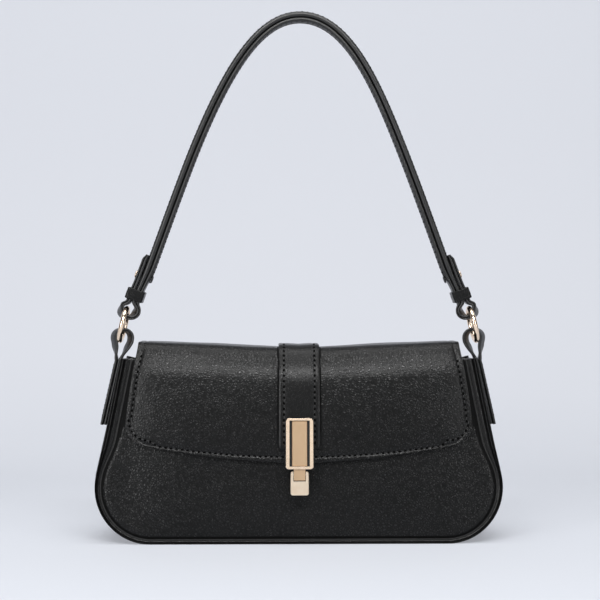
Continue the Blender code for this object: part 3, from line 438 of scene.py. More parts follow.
def shell(outer, inner, rim_round=0.5, rim_steps=4):
    """Points and faces of a closed sheet with a rounded rim: 0 is the outside, 1 the inside, 2 the rim."""
    rows, columns = len(outer), len(outer[0])
    points = [Vector(p) for sheet in (outer, inner) for row in sheet for p in row]
    count = rows * columns
    faces = []
    for a in (r * columns + c for r in range(rows - 1) for c in range(columns - 1)):
        b = a + columns
        faces.append(((a, a + 1, b + 1, b), 0))
        faces.append(((count + b, count + b + 1, count + a + 1, count + a), 1))
    rim = [(r, 0) for r in range(rows)]
    rim += [(rows - 1, c) for c in range(1, columns)]
    rim += [(r, columns - 1) for r in range(rows - 2, -1, -1)]
    rim += [(0, c) for c in range(columns - 2, 0, -1)]
    loops = []
    for r, c in rim:
        first, last = r * columns + c, count + r * columns + c
        inside = min(max(r, 1), rows - 2) * columns + min(max(c, 1), columns - 2)
        middle, half = (points[first] + points[last]) / 2, (points[first] - points[last]) / 2
        away = points[first] - points[inside]
        away -= half * (away.dot(half) / max(half.length_squared, 1e-12))
        away = away.normalized() * half.length * rim_round
        loop = [first]
        for k in range(1, rim_steps):
            turn = math.pi * k / rim_steps
            points.append(middle + half * math.cos(turn) + away * math.sin(turn))
            loop.append(len(points) - 1)
        loops.append(loop + [last])
    for one, two in zip(loops, loops[1:] + loops[:1]):
        for k in range(rim_steps):
            faces.append(((one[k], one[k + 1], two[k + 1], two[k]), 2))
    return points, faces


def loft(stations, closed=False):
    """Points and faces through loops of one length: capped at both ends, or closed into a ring."""
    count, number = len(stations[0]), len(stations)
    points = [Vector(p) for station in stations for p in station]
    faces = []
    for s in range(number if closed else number - 1):
        for i in range(count):
            j = (i + 1) % count
            a, b = s * count, (s + 1) % number * count
            faces.append(((a + i, a + j, b + j, b + i), 0))
    if not closed:
        last = (number - 1) * count
        faces.append((tuple(range(count - 1, -1, -1)), 0))
        faces.append((tuple(range(last, last + count)), 0))
    return points, faces


def round_turn(steps):
    """Cosine and sine at each step of a full turn."""
    return [(math.cos(turn), math.sin(turn)) for turn in spread(0, 2 * math.pi, steps)[:-1]]


def round_corners(half_x, half_y, radius, steps):
    """Points round the four corners of a rectangle, one list for each corner."""
    corners = []
    for quarter, (cx, cy) in enumerate(((1, 1), (-1, 1), (-1, -1), (1, -1))):
        turns = [quarter * math.pi / 2 + math.pi / 2 * k / steps for k in range(steps + 1)]
        middle = (cx * (half_x - radius), cy * (half_y - radius))
        corners.append([(middle[0] + radius * math.cos(t), middle[1] + radius * math.sin(t)) for t in turns])
    return corners


# A stitch's rings: share of its half length, share of its radius, lift in radii
THREAD_RINGS = [(-1.0, 0.15, -0.9), (-0.8, 0.75, -0.15), (-0.35, 1.0, 0.15)]
THREAD_RINGS += [(-step, width, lift) for step, width, lift in reversed(THREAD_RINGS)]
THREAD_SIDES = 6
HOLE_SIDES = 8


def stitches(name, path, normals, body, pitch=STITCH_PITCH, sunk=STITCH_SUNK):
    """Stitches along a path of points: short rounded bars of thread, and after each a small near-black disc
    of painted shade where the needle hole is.
    """
    lengths = [0.0]
    for one, two in zip(path, path[1:]):
        lengths.append(lengths[-1] + (two - one).length)
    number = int(lengths[-1] / pitch)
    start = (lengths[-1] - number * pitch) / 2 + pitch / 2
    points, faces = [], []
    k = 0
    for i in range(number):
        gone = start + i * pitch
        while k < len(lengths) - 2 and lengths[k + 1] < gone:
            k += 1
        share = (gone - lengths[k]) / max(lengths[k + 1] - lengths[k], 1e-9)
        centre = path[k].lerp(path[k + 1], share)
        normal = normals[k].lerp(normals[k + 1], share).normalized()
        along = (path[k + 1] - path[k]).normalized()
        side = along.cross(normal).normalized()
        stations = []
        for step, width, lift in THREAD_RINGS:
            middle = centre + along * (step * STITCH_LENGTH / 2) + normal * (lift * STITCH_RADIUS - sunk)
            turned = [side * cosine + normal * sine for cosine, sine in round_turn(THREAD_SIDES)]
            stations.append([middle + out * STITCH_RADIUS * width for out in turned])
        bar_points, bar_faces = loft(stations)
        faces += [(tuple(len(points) + c for c in corners), 0) for corners, _ in bar_faces]
        points += bar_points
        hole = centre + along * (pitch / 2)
        base = len(points)
        points += [hole + normal * HOLE_APEX, hole - normal * HOLE_DEPTH]
        for cosine, sine in round_turn(HOLE_SIDES):
            rim = along * (cosine * HOLE_HALF_LENGTH) + side * (sine * HOLE_HALF_WIDTH)
            points.append(hole + rim + normal * HOLE_RIM)
        for j in range(HOLE_SIDES):
            a, b = base + 2 + j, base + 2 + (j + 1) % HOLE_SIDES
            faces += [((base, a, b), 1), ((base + 1, b, a), 1)]
    add_piece(name, (points, faces), [thread, needle_hole_shade], body)


def side_name(side):
    return "left" if side < 0 else "right"


def spread(low, high, steps):
    """Evenly spaced values from low to high, both ends included."""
    return [low + (high - low) * i / steps for i in range(steps + 1)]


def smooth(share):
    share = min(1.0, max(0.0, share))
    return share * share * (3 - 2 * share)


def rise(value, low, high):
    """A soft step from 0 at the low value to 1 at the high one."""
    return smooth((value - low) / (high - low))


def hump(distance, relief):
    """A soft bell, of a height and a reach, about the place where the distance is 0."""
    height, reach = relief
    return height * math.exp(-((distance / reach) ** 2))


def waves(x, y, z, relief):
    """Soft unevenness of a height and a size."""
    height, size = relief
    return height * noise.noise(Vector((x, y, z)) / size)


# Body shape, as in the CAD model
corner_centre = Vector((CORNER_CENTRE_X, SEAM_BASE_Z + CORNER_RADIUS))
top_point = Vector((SEAM_TOP_HALF_WIDTH, SEAM_TOP_Z))
to_top = top_point - corner_centre
side_angle = math.atan2(to_top.y, to_top.x) - math.acos(CORNER_RADIUS / to_top.length)
side_normal = Vector((math.cos(side_angle), math.sin(side_angle)))


def half_depth(z):
    return BASE_DEPTH / 2 + (TOP_DEPTH - BASE_DEPTH) / 2 * z / SEAM_TOP_Z


def panel_face(x, z):
    """Distance of a panel's outer face from the bag's middle plane."""
    middle = (SEAM_TOP_Z + SEAM_BASE_Z) / 2
    across = min(1.0, abs(x) / SEAM_TOP_HALF_WIDTH)
    up = min(1.0, abs(z - middle) / (SEAM_TOP_Z - middle))
    return half_depth(z) + PANEL_CROWN * (1 - across**4) * (1 - up**4)


def seam_half_width(z, out=0.0):
    """Half the width inside the seam line, moved out by some length, at a height."""
    radius = CORNER_RADIUS + out
    if z > corner_centre.y + radius * side_normal.y:
        along = radius - (z - corner_centre.y) * side_normal.y
        return corner_centre.x + along / side_normal.x
    sine = max(-1.0, min(1.0, (z - corner_centre.y) / radius))
    return corner_centre.x + radius * math.sqrt(1 - sine * sine)


def seam_distance(x, z):
    """How far a point lies inside the seam line."""
    offset = Vector((abs(x), z)) - corner_centre
    if offset.x > 0 and math.atan2(offset.y, offset.x) < side_angle:
        return CORNER_RADIUS - offset.length
    return min(z - SEAM_BASE_Z, (top_point - Vector((abs(x), z))).dot(side_normal))


def seam_reach(z):
    """How far the panel's leather reaches out over the seam line: it does round the bag's foot."""
    return SEAM_REACH * rise(z, SEAM_REACH_HIGH_Z, SEAM_REACH_LOW_Z)


def seam_path(top_z, side_steps=40, corner_steps=28, base_steps=60):
    """Places along the U from the right top to the left: (x, z, normal x, normal z, corner share)."""
    start = corner_centre.y + CORNER_RADIUS * side_normal.y
    half = []
    for z in spread(top_z, start, side_steps)[:-1]:
        half.append((seam_half_width(z), z, side_normal.x, side_normal.y, 0.0))
    for i, angle in enumerate(spread(side_angle, -math.pi / 2, corner_steps)):
        nx, nz = math.cos(angle), math.sin(angle)
        spot = corner_centre + Vector((nx, nz)) * CORNER_RADIUS
        half.append((spot.x, spot.y, nx, nz, i / corner_steps))
    base_xs = spread(corner_centre.x, -corner_centre.x, base_steps)[1:-1]
    base = [(x, SEAM_BASE_Z, 0.0, -1.0, 1.0) for x in base_xs]
    return half + base + [(-x, z, -nx, nz, share) for x, z, nx, nz, share in reversed(half)]


def panel_surface(x, z, side):
    """The panel's leather: it rolls in at the seam and over the mouth's edge, and is a little uneven."""
    edge = max(0.0, seam_distance(x, z) + seam_reach(z))
    rolled = hump(edge, PANEL_SEAM_ROLL) + hump(max(0.0, SEAM_TOP_Z - z), PANEL_TOP_ROLL)
    calm = min(1.0, edge / CALM_EDGE)
    uneven = waves(x, side * 3, z, PANEL_WAVES) + waves(x, side * 5, z, PANEL_RIPPLES)
    return panel_face(x, z) - rolled + calm * uneven


def seam_shade_band(spots):
    """Whether a face of a panel lies in the band of painted shade along the seam."""
    shade_width = SEAM_SHADE_LOW + (SEAM_SHADE_HIGH - SEAM_SHADE_LOW) * rise(spots[0].z, SEAM_SHADE_LOW_Z, SEAM_SHADE_HIGH_Z)
    return all(seam_distance(spot.x, spot.z) + seam_reach(spot.z) < shade_width for spot in spots)


def with_painted_shade(form, band):
    """The same form, with the faces of its outside that lie in a band given painted shade, the near-black
    material 3.
    """
    points, faces = form
    return points, [(c, 3 if index == 0 and band([points[k] for k in c]) else index) for c, index in faces]


def edged_places(half, steps, middle):
    """Places across a sheet: close at its edges, and at shares of the rest in its middle."""
    left = [-(half - step) for step in steps[:-1]]
    return left + [(half - steps[-1]) * share for share in middle] + [-x for x in reversed(left)]


def body_panel(name, side):
    """A panel's leather, with painted shade on its outside along the seam."""
    radius = CORNER_RADIUS - EDGE_GAP
    rows = []
    for angle in spread(-math.pi / 2, side_angle, 26):
        out = radius + seam_reach(corner_centre.y + radius * math.sin(angle))
        rows.append((corner_centre.x + out * math.cos(angle), corner_centre.y + out * math.sin(angle)))
    for z in spread(rows[-1][1], SEAM_TOP_Z, 56)[1:-1]:
        rows.append((seam_half_width(z, seam_reach(z) - EDGE_GAP), z))
    for drop in PANEL_TOP_STEPS:
        z = SEAM_TOP_Z - drop
        rows.append((seam_half_width(z, -EDGE_GAP), z))
    outer_rows, inner_rows = [], []
    for half, z in rows:
        xs = edged_places(half, PANEL_EDGE_STEPS, spread(-1, 1, 70))
        outer_rows.append([(x, side * panel_surface(x, z, side), z) for x in xs])
        inner_rows.append([(x, side * (panel_face(x, z) - PANEL_THICKNESS), z) for x in xs])
    form = with_painted_shade(shell(outer_rows, inner_rows, 0.1), seam_shade_band)
    add_piece(name, form, [grain, suede, edge_paint, painted_shade], "bag_body", [name.replace("_body", "")])


# The welt's section: out from the seam, over the panel's plain face
WELT_SECTION = [
    (0.00015, -0.0030), (0.00015, -0.0022), (0.0010, -0.0020), (0.0022, -0.0019), (0.0031, -0.0013),
    (0.0036, -0.0002), (0.0038, 0.0005), (0.0041, 0.0009), (0.0044, 0.0010), (0.0047, 0.0008),
    (0.0049, 0.0003), (0.0051, 0.0001), (0.0053, 0.0003), (0.0055, 0.0008), (0.0058, 0.0010),
    (0.0061, 0.0009), (0.0063, 0.0005), (0.0064, -0.0004), (0.0060, -0.0022),
]


def welt_piece(name, side):
    """The strip round a panel: a deep valley at the seam and a lip of two fine ridges."""
    width = WELT_SECTION[-2][0]
    stations = []
    for x, z, nx, nz, share in seam_path(SEAM_TOP_Z):
        face, reach = half_depth(z), seam_reach(z)
        drawn = 1 - WELT_CORNER_SHARE * share - WELT_REACH_SHARE * reach / width
        place = [(reach + out * drawn, y) for out, y in WELT_SECTION]
        stations.append([(x + nx * out, side * (face + y), z + nz * out) for out, y in place])
    add_piece(name, loft(stations), [strap_grain], "bag_body", [name.replace("_piped", "")], sharp=60)


def gusset_swell(z):
    """The gusset's bulge at the middle of its width, by the seam's height."""
    up = min(1.0, max(0.0, (z - corner_centre.y) / (SEAM_TOP_Z - corner_centre.y)))
    return GUSSET_BULGE * (1 + (GUSSET_TOP_BULGE_SHARE - 1) * up)


def gusset_piece():
    """The side and base strip: a soft bulge, a shallow crease near each top edge and turned top edges."""
    stations_out, stations_in = [], []
    for x, z, nx, nz, share in seam_path(SEAM_TOP_Z - GUSSET_TOP_DROP, 60, 30, 40):
        half = half_depth(z) - PANEL_THICKNESS - FIT_GAP
        up = max(0.0, (z - GUSSET_CREASE_LOW_Z) / (SEAM_TOP_Z - GUSSET_CREASE_LOW_Z))
        outer, inner = [], []
        for a in spread(-1, 1, 24):
            bulge = gusset_swell(z) * (1 - share) ** 1.5 * max(0.0, math.cos(a * math.pi / 2)) ** 0.7
            crease = up * (1 - share) * hump(abs(a) - GUSSET_CREASE_SHARE, GUSSET_CREASE)
            uneven = (1 - share) * (1 - a * a) * waves(a * TOP_DEPTH / 2, x, z, GUSSET_WAVES)
            out = SEAM_BASE_Z + bulge - crease + uneven
            outer.append((x + nx * out, a * half, z + nz * out))
            back = SEAM_BASE_Z + bulge - GUSSET_THICKNESS
            inner.append((x + nx * back, a * half, z + nz * back))
        stations_out.append(outer)
        stations_in.append(inner)
    form = shell(stations_out, stations_in)
    add_piece("gusset_leather", form, [grain, suede, edge_paint], "bag_body", ["gusset"])


# Flap: one sheet from the leaf on the back panel, over the mouth and down the front
rear_face = half_depth(HINGE_Z) + FLAP_STANDOFF
lean_drop = 1 - math.sin(body_lean)


def flap_top(x):
    """Height of the flap's inner face, which dips towards the tab."""
    return FLAP_TOP_Z - FLAP_DIP * (1 - min(1.0, abs(x) / FLAP_TOP_HALF_WIDTH)) ** 1.3


def flap_edge(x):
    return FLAP_EDGE_CENTRE_Z + FLAP_EDGE_RISE * (x / FLAP_TOP_HALF_WIDTH) ** 2


def flap_half_width(z):
    share = min(1.0, max(0.0, (FLAP_TOP_Z - z) / (FLAP_TOP_Z - FLAP_EDGE_CENTRE_Z)))
    return FLAP_TOP_HALF_WIDTH + (FLAP_LOW_HALF_WIDTH - FLAP_TOP_HALF_WIDTH) * math.sin(share * math.pi / 2)


def flap_inside(x, z):
    """How far a point of the flap's front lies inside its outline."""
    side = flap_half_width(z) - abs(x)
    low = z - flap_edge(x)
    corner = FLAP_CORNER_RADIUS
    if side < corner and low < corner:
        return corner - math.hypot(corner - side, corner - low)
    return min(side, low)


def flap_lift(x, z):
    """How far the front's outer leather stands over its plain face: edge band, stitch valley, unevenness,
    and the dip beside the tab."""
    edge = max(0.0, flap_inside(x, z))
    valley = hump(edge - FLAP_STITCH_INSET, FLAP_VALLEY)
    pillow = -PILLOW_DEPTH * math.exp(-max(0.0, edge - PILLOW_START) / PILLOW_REACH)
    tucked = hump(abs(x) - TAB_HALF_WIDTH, FLAP_TUCK) if z > TAB_LOW_Z else 0.0
    calm = min(1.0, edge / CALM_EDGE)
    uneven = waves(x, 1.0, z, FLAP_WAVES) + waves(x, 2.0, z, FLAP_RIPPLES)
    return valley + pillow + hump(edge, FLAP_BAND) + tucked + calm * uneven


def fold_sizes(offset):
    """How far the long fold reaches forward and down, at an offset from the flap's inner face."""
    return FLAP_FOLD_RADIUS + offset, FOLD_DROP + offset


def fold_slack(x, z, offset):
    """How far the leather over the front hangs in behind its plain face: it comes forward over a long drop,
    and keeps clear of the front panel."""
    below = max(0.0, flap_top(x) + offset * lean_drop - z)
    reach, drop = fold_sizes(offset)
    slack = 0.0 if below >= drop else reach * (1 - math.sqrt(1 - (1 - below / drop) ** 2))
    return min(slack, FLAP_STANDOFF + offset - FIT_GAP + max(0.0, z - SEAM_TOP_Z) * 1.5)


def fold_point(x, across, offset, share):
    """A point of the long fold and its normal: share is 0 at its top and 1 where the plain fold ends."""
    reach, drop = fold_sizes(offset)
    turn = math.acos(1 - (reach - offset * math.sin(body_lean)) / drop) * share
    z = flap_top(x) + offset * lean_drop - drop * (1 - math.cos(turn))
    normal = Vector((0, -math.sin(turn) / reach, math.cos(turn) / drop)).normalized()
    return hanging_point(x, across, z, offset), normal


def hanging_point(x, across, z, offset, lift=0.0):
    """A point of the leather over the front."""
    return front_point(across, z, offset + lift) + Vector((0, fold_slack(x, z, offset), 0))


def front_point(x, z, offset):
    """A point over the front panel, offset out from the flap's inner face."""
    return Vector((x, -(panel_face(x, z) + FLAP_STANDOFF), z)) + front_normal * offset


def flap_profile(x, offset):
    """Points (y, z) from the hinge over the top, offset out from the flap's inner face."""
    top = flap_top(x)
    fold = top - FLAP_FOLD_RADIUS
    radius = FLAP_FOLD_RADIUS + offset
    rear = rear_face - FLAP_FOLD_RADIUS
    front = FLAP_FOLD_RADIUS - panel_face(x, fold) - FLAP_STANDOFF
    low_angle = math.asin(max(0.0, (HINGE_Z - fold) / radius))
    points = []
    for angle in spread(low_angle, math.pi / 2, FOLD_ROWS):
        points.append((rear + radius * math.cos(angle), fold + radius * math.sin(angle)))
    points += [(y, top + offset) for y in spread(rear, front, TOP_ROWS)[1:-1]]
    for angle in spread(math.pi / 2, math.pi, FOLD_ROWS):
        points.append((front + radius * math.cos(angle), fold + radius * math.sin(angle)))
    return points


def leaf_point(x, z, offset):
    """A point over the back panel, where the flap's rear end is sewn."""
    share = (z - LEAF_LOW_Z) / (HINGE_Z - LEAF_LOW_Z)
    return Vector((x, panel_face(x, z) + FIT_GAP + (FLAP_STANDOFF - FIT_GAP) * share + offset, z))


def flap_columns(half):
    """Places across the flap: close at its edges and, at fixed places, along the tab's."""
    beside = [TAB_HALF_WIDTH + TAB_SHADE_WIDTH * share for share in (-1, 0, 0.5, 1)]
    shares = [p for p in spread(-1, 1, 76) if abs(abs(p) * FLAP_LOW_HALF_WIDTH - TAB_HALF_WIDTH) > TAB_CLEAR]
    return sorted(edged_places(half, FLAP_EDGE_STEPS, shares) + beside + [-x for x in beside])


def tab_shade_band(spots):
    """Whether a face of the flap lies in the line of painted shade along the tab."""
    across = [abs(spot.x) for spot in spots]
    beside = min(across) > TAB_HALF_WIDTH - 2 * TAB_SHADE_WIDTH and max(across) < TAB_HALF_WIDTH + 1.2 * TAB_SHADE_WIDTH
    return beside and min(spot.z for spot in spots) > TAB_LOW_Z + TAB_CORNER_RADIUS and spots[0].y < 0


def leaf_valley(edge):
    return hump(edge - FLAP_STITCH_INSET, LEAF_VALLEY)


def flap_rows(offset, outer):
    """Rows of the flap's sheet at an offset from its inner face: leaf, top, fold, front, rounded corners."""
    rows = []
    raised = 1.0 if outer else 0.0
    leaf_xs = flap_columns(FLAP_TOP_HALF_WIDTH)
    profiles = [flap_profile(x, offset) for x in leaf_xs]
    eased_in = LEAF_EASE_OUTSIDE if outer else LEAF_EASE_INSIDE
    for z in spread(LEAF_LOW_Z, HINGE_Z - LEAF_HINGE_GAP, 15):
        eased_share = rise(z, HINGE_Z - eased_in, HINGE_Z)
        row = []
        for x, profile in zip(leaf_xs, profiles):
            lift = raised * leaf_valley(min(FLAP_TOP_HALF_WIDTH - abs(x), z - LEAF_LOW_Z))
            drawn = (profile[0][0] - leaf_point(x, HINGE_Z, offset).y) * eased_share
            row.append(leaf_point(x, z, offset + lift + drawn))
        rows.append(row)
    for k in range(len(profiles[0])):
        row = []
        for x, profile in zip(leaf_xs, profiles):
            y, z = profile[k]
            edge = FLAP_TOP_HALF_WIDTH - abs(x)
            uneven = min(1.0, edge / CALM_EDGE) * waves(x, y, z, FLAP_TOP_WAVES)
            plain = raised * (leaf_valley(edge) + uneven)
            place = Vector((x * flap_half_width(z) / FLAP_TOP_HALF_WIDTH, y, z))
            if k >= FOLD_START:
                turned = (k - FOLD_START) / FOLD_ROWS
                share = smooth(turned)
                place, normal = fold_point(x, place.x, offset, turned)
                place += normal * (raised * flap_lift(place.x, place.z) * share)
                plain *= 1 - share
            row.append(place + Vector((0, 0, plain)))
        rows.append(row)
    low_xs = flap_columns(FLAP_LOW_HALF_WIDTH)
    for share in spread(0, 1, FRONT_ROWS)[1:]:
        row = []
        for c, (place, x) in enumerate(zip(leaf_xs, low_xs)):
            start = flap_top(place) - FLAP_FOLD_RADIUS
            z = start + (flap_edge(x) + FLAP_CORNER_RADIUS - start) * share
            across = flap_columns(flap_half_width(z))[c]
            row.append(hanging_point(place, across, z, offset, raised * flap_lift(across, z)))
        rows.append(row)
    for drop in reversed(FLAP_EDGE_STEPS + [FLAP_CORNER_STEP]):
        sine = 1 - drop / FLAP_CORNER_RADIUS
        half = FLAP_LOW_HALF_WIDTH - FLAP_CORNER_RADIUS * (1 - math.sqrt(max(0.0, 1 - sine * sine)))
        spots = [(x, flap_edge(x * FLAP_LOW_HALF_WIDTH / half) + drop) for x in flap_columns(half)]
        rows.append([front_point(x, z, offset + raised * flap_lift(x, z)) for x, z in spots])
    return rows


def flap_sheet():
    form = with_painted_shade(shell(flap_rows(FLAP_STACK, True), flap_rows(0.0, False), 0.45, 6), tab_shade_band)
    obj = add_piece("flap_leather", form, [grain, suede, flap_edge_paint_highlit, painted_shade], None)
    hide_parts("flap_outer", "flap_lining", "flap_back_leaf")
    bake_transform(obj)


def flap_stitches():
    """Two lines of stitches in the valley: the side and lower edge of the front, and the leaf."""
    inset = FLAP_STITCH_INSET
    half = []
    z = FLAP_TOP_Z - FLAP_STITCH_TOP_DROP
    low = flap_edge(FLAP_LOW_HALF_WIDTH) + FLAP_CORNER_RADIUS
    while z > low:
        half.append((flap_half_width(z) - inset, z))
        z -= STITCH_STEP
    centre_x = FLAP_LOW_HALF_WIDTH - FLAP_CORNER_RADIUS
    radius = FLAP_CORNER_RADIUS - inset
    turns = spread(0, -math.pi / 2, 12)
    half += [(centre_x + radius * math.cos(t), low + radius * math.sin(t)) for t in turns]
    x = centre_x - STITCH_STEP
    start = half[-1][1] - (flap_edge(x) + inset)
    while x > 0:
        eased_share = max(0.0, 1 - (centre_x - x) / FLAP_STITCH_EASE)
        half.append((x, flap_edge(x) + inset + start * eased_share))
        x -= STITCH_STEP
    path = half + [(-x, z) for x, z in reversed(half)]
    spots = [hanging_point(x, x, z, FLAP_STACK, flap_lift(x, z)) for x, z in path]
    stitches("flap_stitches", spots, [front_normal] * len(spots), "flap")
    side_x = FLAP_TOP_HALF_WIDTH - inset
    last = int(side_x / STITCH_STEP)
    heights = [LEAF_STITCH_TOP_Z - STITCH_STEP * i for i in range(20)]
    leaf = [(side_x, z) for z in heights]
    leaf += [(x * STITCH_STEP, LEAF_LOW_Z + inset) for x in range(last, -last - 1, -1)]
    leaf += [(-side_x, z) for z in reversed(heights)]
    spots = [leaf_point(x, z, FLAP_STACK + LEAF_VALLEY[0]) for x, z in leaf]
    stitches("leaf_stitches", spots, [Vector((0, 1, 0.1))] * len(spots), "bag_body")


# Tab over the flap
def tab_edge_lift(x, low_distance):
    """How far the tab's leather stands over its plain face, by distance from its sides and end."""
    edge = max(0.0, min(TAB_HALF_WIDTH - abs(x), low_distance))
    valley = hump(edge - TAB_STITCH_INSET, TAB_VALLEY)
    return valley + hump(edge, TAB_BAND) + TAB_CROWN * min(1.0, edge / TAB_CALM_EDGE)


def tab_columns(half):
    return edged_places(half, TAB_EDGE_STEPS, spread(-1, 1, 10))


def tab_rows(offset, outer):
    """Rows of the tab from the top of the bag over the long fold to its rounded end."""
    rows = []
    raised = 1.0 if outer else 0.0
    xs = tab_columns(TAB_HALF_WIDTH)
    profiles = [flap_profile(x, offset)[FOLD_ROWS:] for x in xs]
    for k in range(TOP_ROWS + FOLD_ROWS + 1):
        row = []
        for x, profile in zip(xs, profiles):
            place, normal = Vector((x, *profile[k])), Vector((0, 0, 1))
            if k >= TOP_ROWS:
                place, normal = fold_point(x, x, offset, (k - TOP_ROWS) / FOLD_ROWS)
            row.append(place + normal * (raised * tab_edge_lift(x, 1.0)))
        rows.append(row)
    for share in spread(0, 1, FRONT_ROWS)[1:]:
        row = []
        for x in xs:
            start = flap_top(x) - FLAP_FOLD_RADIUS
            z = start + (TAB_LOW_Z + TAB_CORNER_RADIUS - start) * share
            row.append(hanging_point(x, x, z, offset, raised * tab_edge_lift(x, z - TAB_LOW_Z)))
        rows.append(row)
    for angle in spread(0, math.pi / 2, 8)[1:]:
        half = TAB_HALF_WIDTH - TAB_CORNER_RADIUS * (1 - math.cos(angle))
        up = TAB_CORNER_RADIUS * (1 - math.sin(angle))
        lifts = [(x, offset + raised * tab_edge_lift(x, up)) for x in tab_columns(half)]
        rows.append([front_point(x, TAB_LOW_Z + up, lift) for x, lift in lifts])
    return rows


def closure_tab():
    low = FLAP_STACK + FIT_GAP
    out = low + TAB_THICKNESS
    sunk = 0.0001
    form = shell(tab_rows(out, True), tab_rows(low, False), 0.4, 6)
    add_piece("tab_leather", form, [strap_grain, suede, edge_paint], "flap", ["closure_tab"])
    for side in (-1, 1):
        x = side * (TAB_HALF_WIDTH - TAB_STITCH_INSET)
        top = flap_profile(x, out - sunk)[FOLD_ROWS + 3:FOLD_START]
        spots = [Vector((x, y, z)) for y, z in top]
        normals = [Vector((0, 0, 1))] * len(top)
        for share in spread(0, 1, FOLD_ROWS):
            place, normal = fold_point(x, x, out, share)
            spots.append(place - normal * sunk)
            normals.append(normal)
        z = spots[-1].z - STITCH_STEP
        while z > TAB_LOW_Z + TAB_STITCH_INSET:
            spots.append(hanging_point(x, x, z, out, -sunk))
            normals.append(front_normal)
            z -= STITCH_STEP
        stitches(f"tab_stitches_{side_name(side)}", spots, normals, "flap")


# Strips bent in the plane across the bag: strap and side tabs
def strip_piece(name, route, plies, width, body, replaced, skew):
    """A strip of plies along (x, z, thickness) places, its cut edges painted.
    skew gives how far a place's section leans sideways towards the back, as a share of its width."""
    stations = []
    spots = [Vector((x, z)) for x, z, _ in route]
    for i, (x, z, thickness) in enumerate(route):
        along = (spots[min(len(spots) - 1, i + 1)] - spots[max(0, i - 1)]).normalized()
        normal = Vector((-along.y, along.x))
        lean = skew(x, z)
        section = ply_section(plies, width, thickness)
        stations.append([(x + normal.x * out + lean * y, y, z + normal.y * out) for out, y in section])
    points, faces = loft(stations)
    count = len(stations[0])
    leather_faces = (count // 2 - 1, count - 1)
    marked = []
    for k, (corners, _) in enumerate(faces):
        flat = len(corners) == 4 and k % count in leather_faces
        marked.append((corners, 0 if flat else 1))
    add_piece(name, (points, marked), [strap_grain, edge_paint], body, [replaced], sharp=60)


def ply_section(plies, width, thickness):
    """The section of a strip with round edges, as (across, y): plies are (low, high) shares of it."""
    half = width / 2
    right = []
    for low, high in plies:
        a, b = thickness * low, thickness * high
        radius = (b - a) / 2
        right.append((a, half - radius))
        for turn in spread(-math.pi / 2, math.pi / 2, 6)[1:-1]:
            drawn = radius * PLY_ROUND_SHARE * (1 - math.cos(turn))
            right.append(((a + b) / 2 + radius * math.sin(turn), half - drawn))
        right.append((b, half - radius))
    return right + [(t, -y) for t, y in reversed(right)]


strap_along = Vector((-math.sin(STRAP_LEAN), math.cos(STRAP_LEAN)))
strap_across = Vector((-math.cos(STRAP_LEAN), -math.sin(STRAP_LEAN)))
ring_point = Vector((RING_CENTRE_X, RING_CENTRE_Z))
loop_wall = STRAP_LOOP_HALF_WIDTH + STRAP_END_THICKNESS / 2
loop_centre = STRAP_LOOP_INSIDE + STRAP_LOOP_HALF_WIDTH
loop_top = loop_centre + STRAP_LOOP_STRAIGHT
loop_high_z = RING_CENTRE_Z + (loop_top + STRAP_SKEW_GAP) * math.cos(STRAP_LEAN)
keeper_low = KEEPER_ALONG - KEEPER_HEIGHT / 2
keeper_high = KEEPER_ALONG + KEEPER_HEIGHT / 2


def strap_place(along, across):
    return tuple(ring_point + strap_along * along + strap_across * across)


def past_loop(along):
    """Share of the way from the loop's top to the keeper."""
    return rise(along, loop_top, keeper_low)


def strap_thickness(along):
    low = STRAP_KEEPER_THICKNESS - STRAP_END_THICKNESS
    high = STRAP_THICKNESS - STRAP_KEEPER_THICKNESS
    to_leg = rise(along, keeper_high, STRAP_LEG_ALONG)
    return STRAP_END_THICKNESS + low * past_loop(along) + high * to_leg


def leg_across(along):
    """Middle of the strap, which draws in from the loop to the keeper."""
    to_leg = rise(along, keeper_low, STRAP_LEG_ALONG)
    drawn = loop_wall + (STRAP_KEEPER_ACROSS - loop_wall) * past_loop(along)
    return drawn + (STRAP_LEG_ACROSS - STRAP_KEEPER_ACROSS) * to_leg


def tail_thickness(along):
    tip = rise(along, TAIL_ALONG, TAIL_ALONG - TAIL_TIP_LENGTH)
    full = STRAP_END_THICKNESS + (TAIL_THICKNESS - STRAP_END_THICKNESS) * past_loop(along)
    return full * (TAIL_TIP_SHARE + (1 - TAIL_TIP_SHARE) * tip)


def tail_across(along):
    """Middle of the tail, which lies on the strap from the keeper up."""
    laid = leg_across(along) - strap_thickness(along) / 2 - TAIL_GAP - tail_thickness(along) / 2
    return -loop_wall + (laid + loop_wall) * past_loop(along)


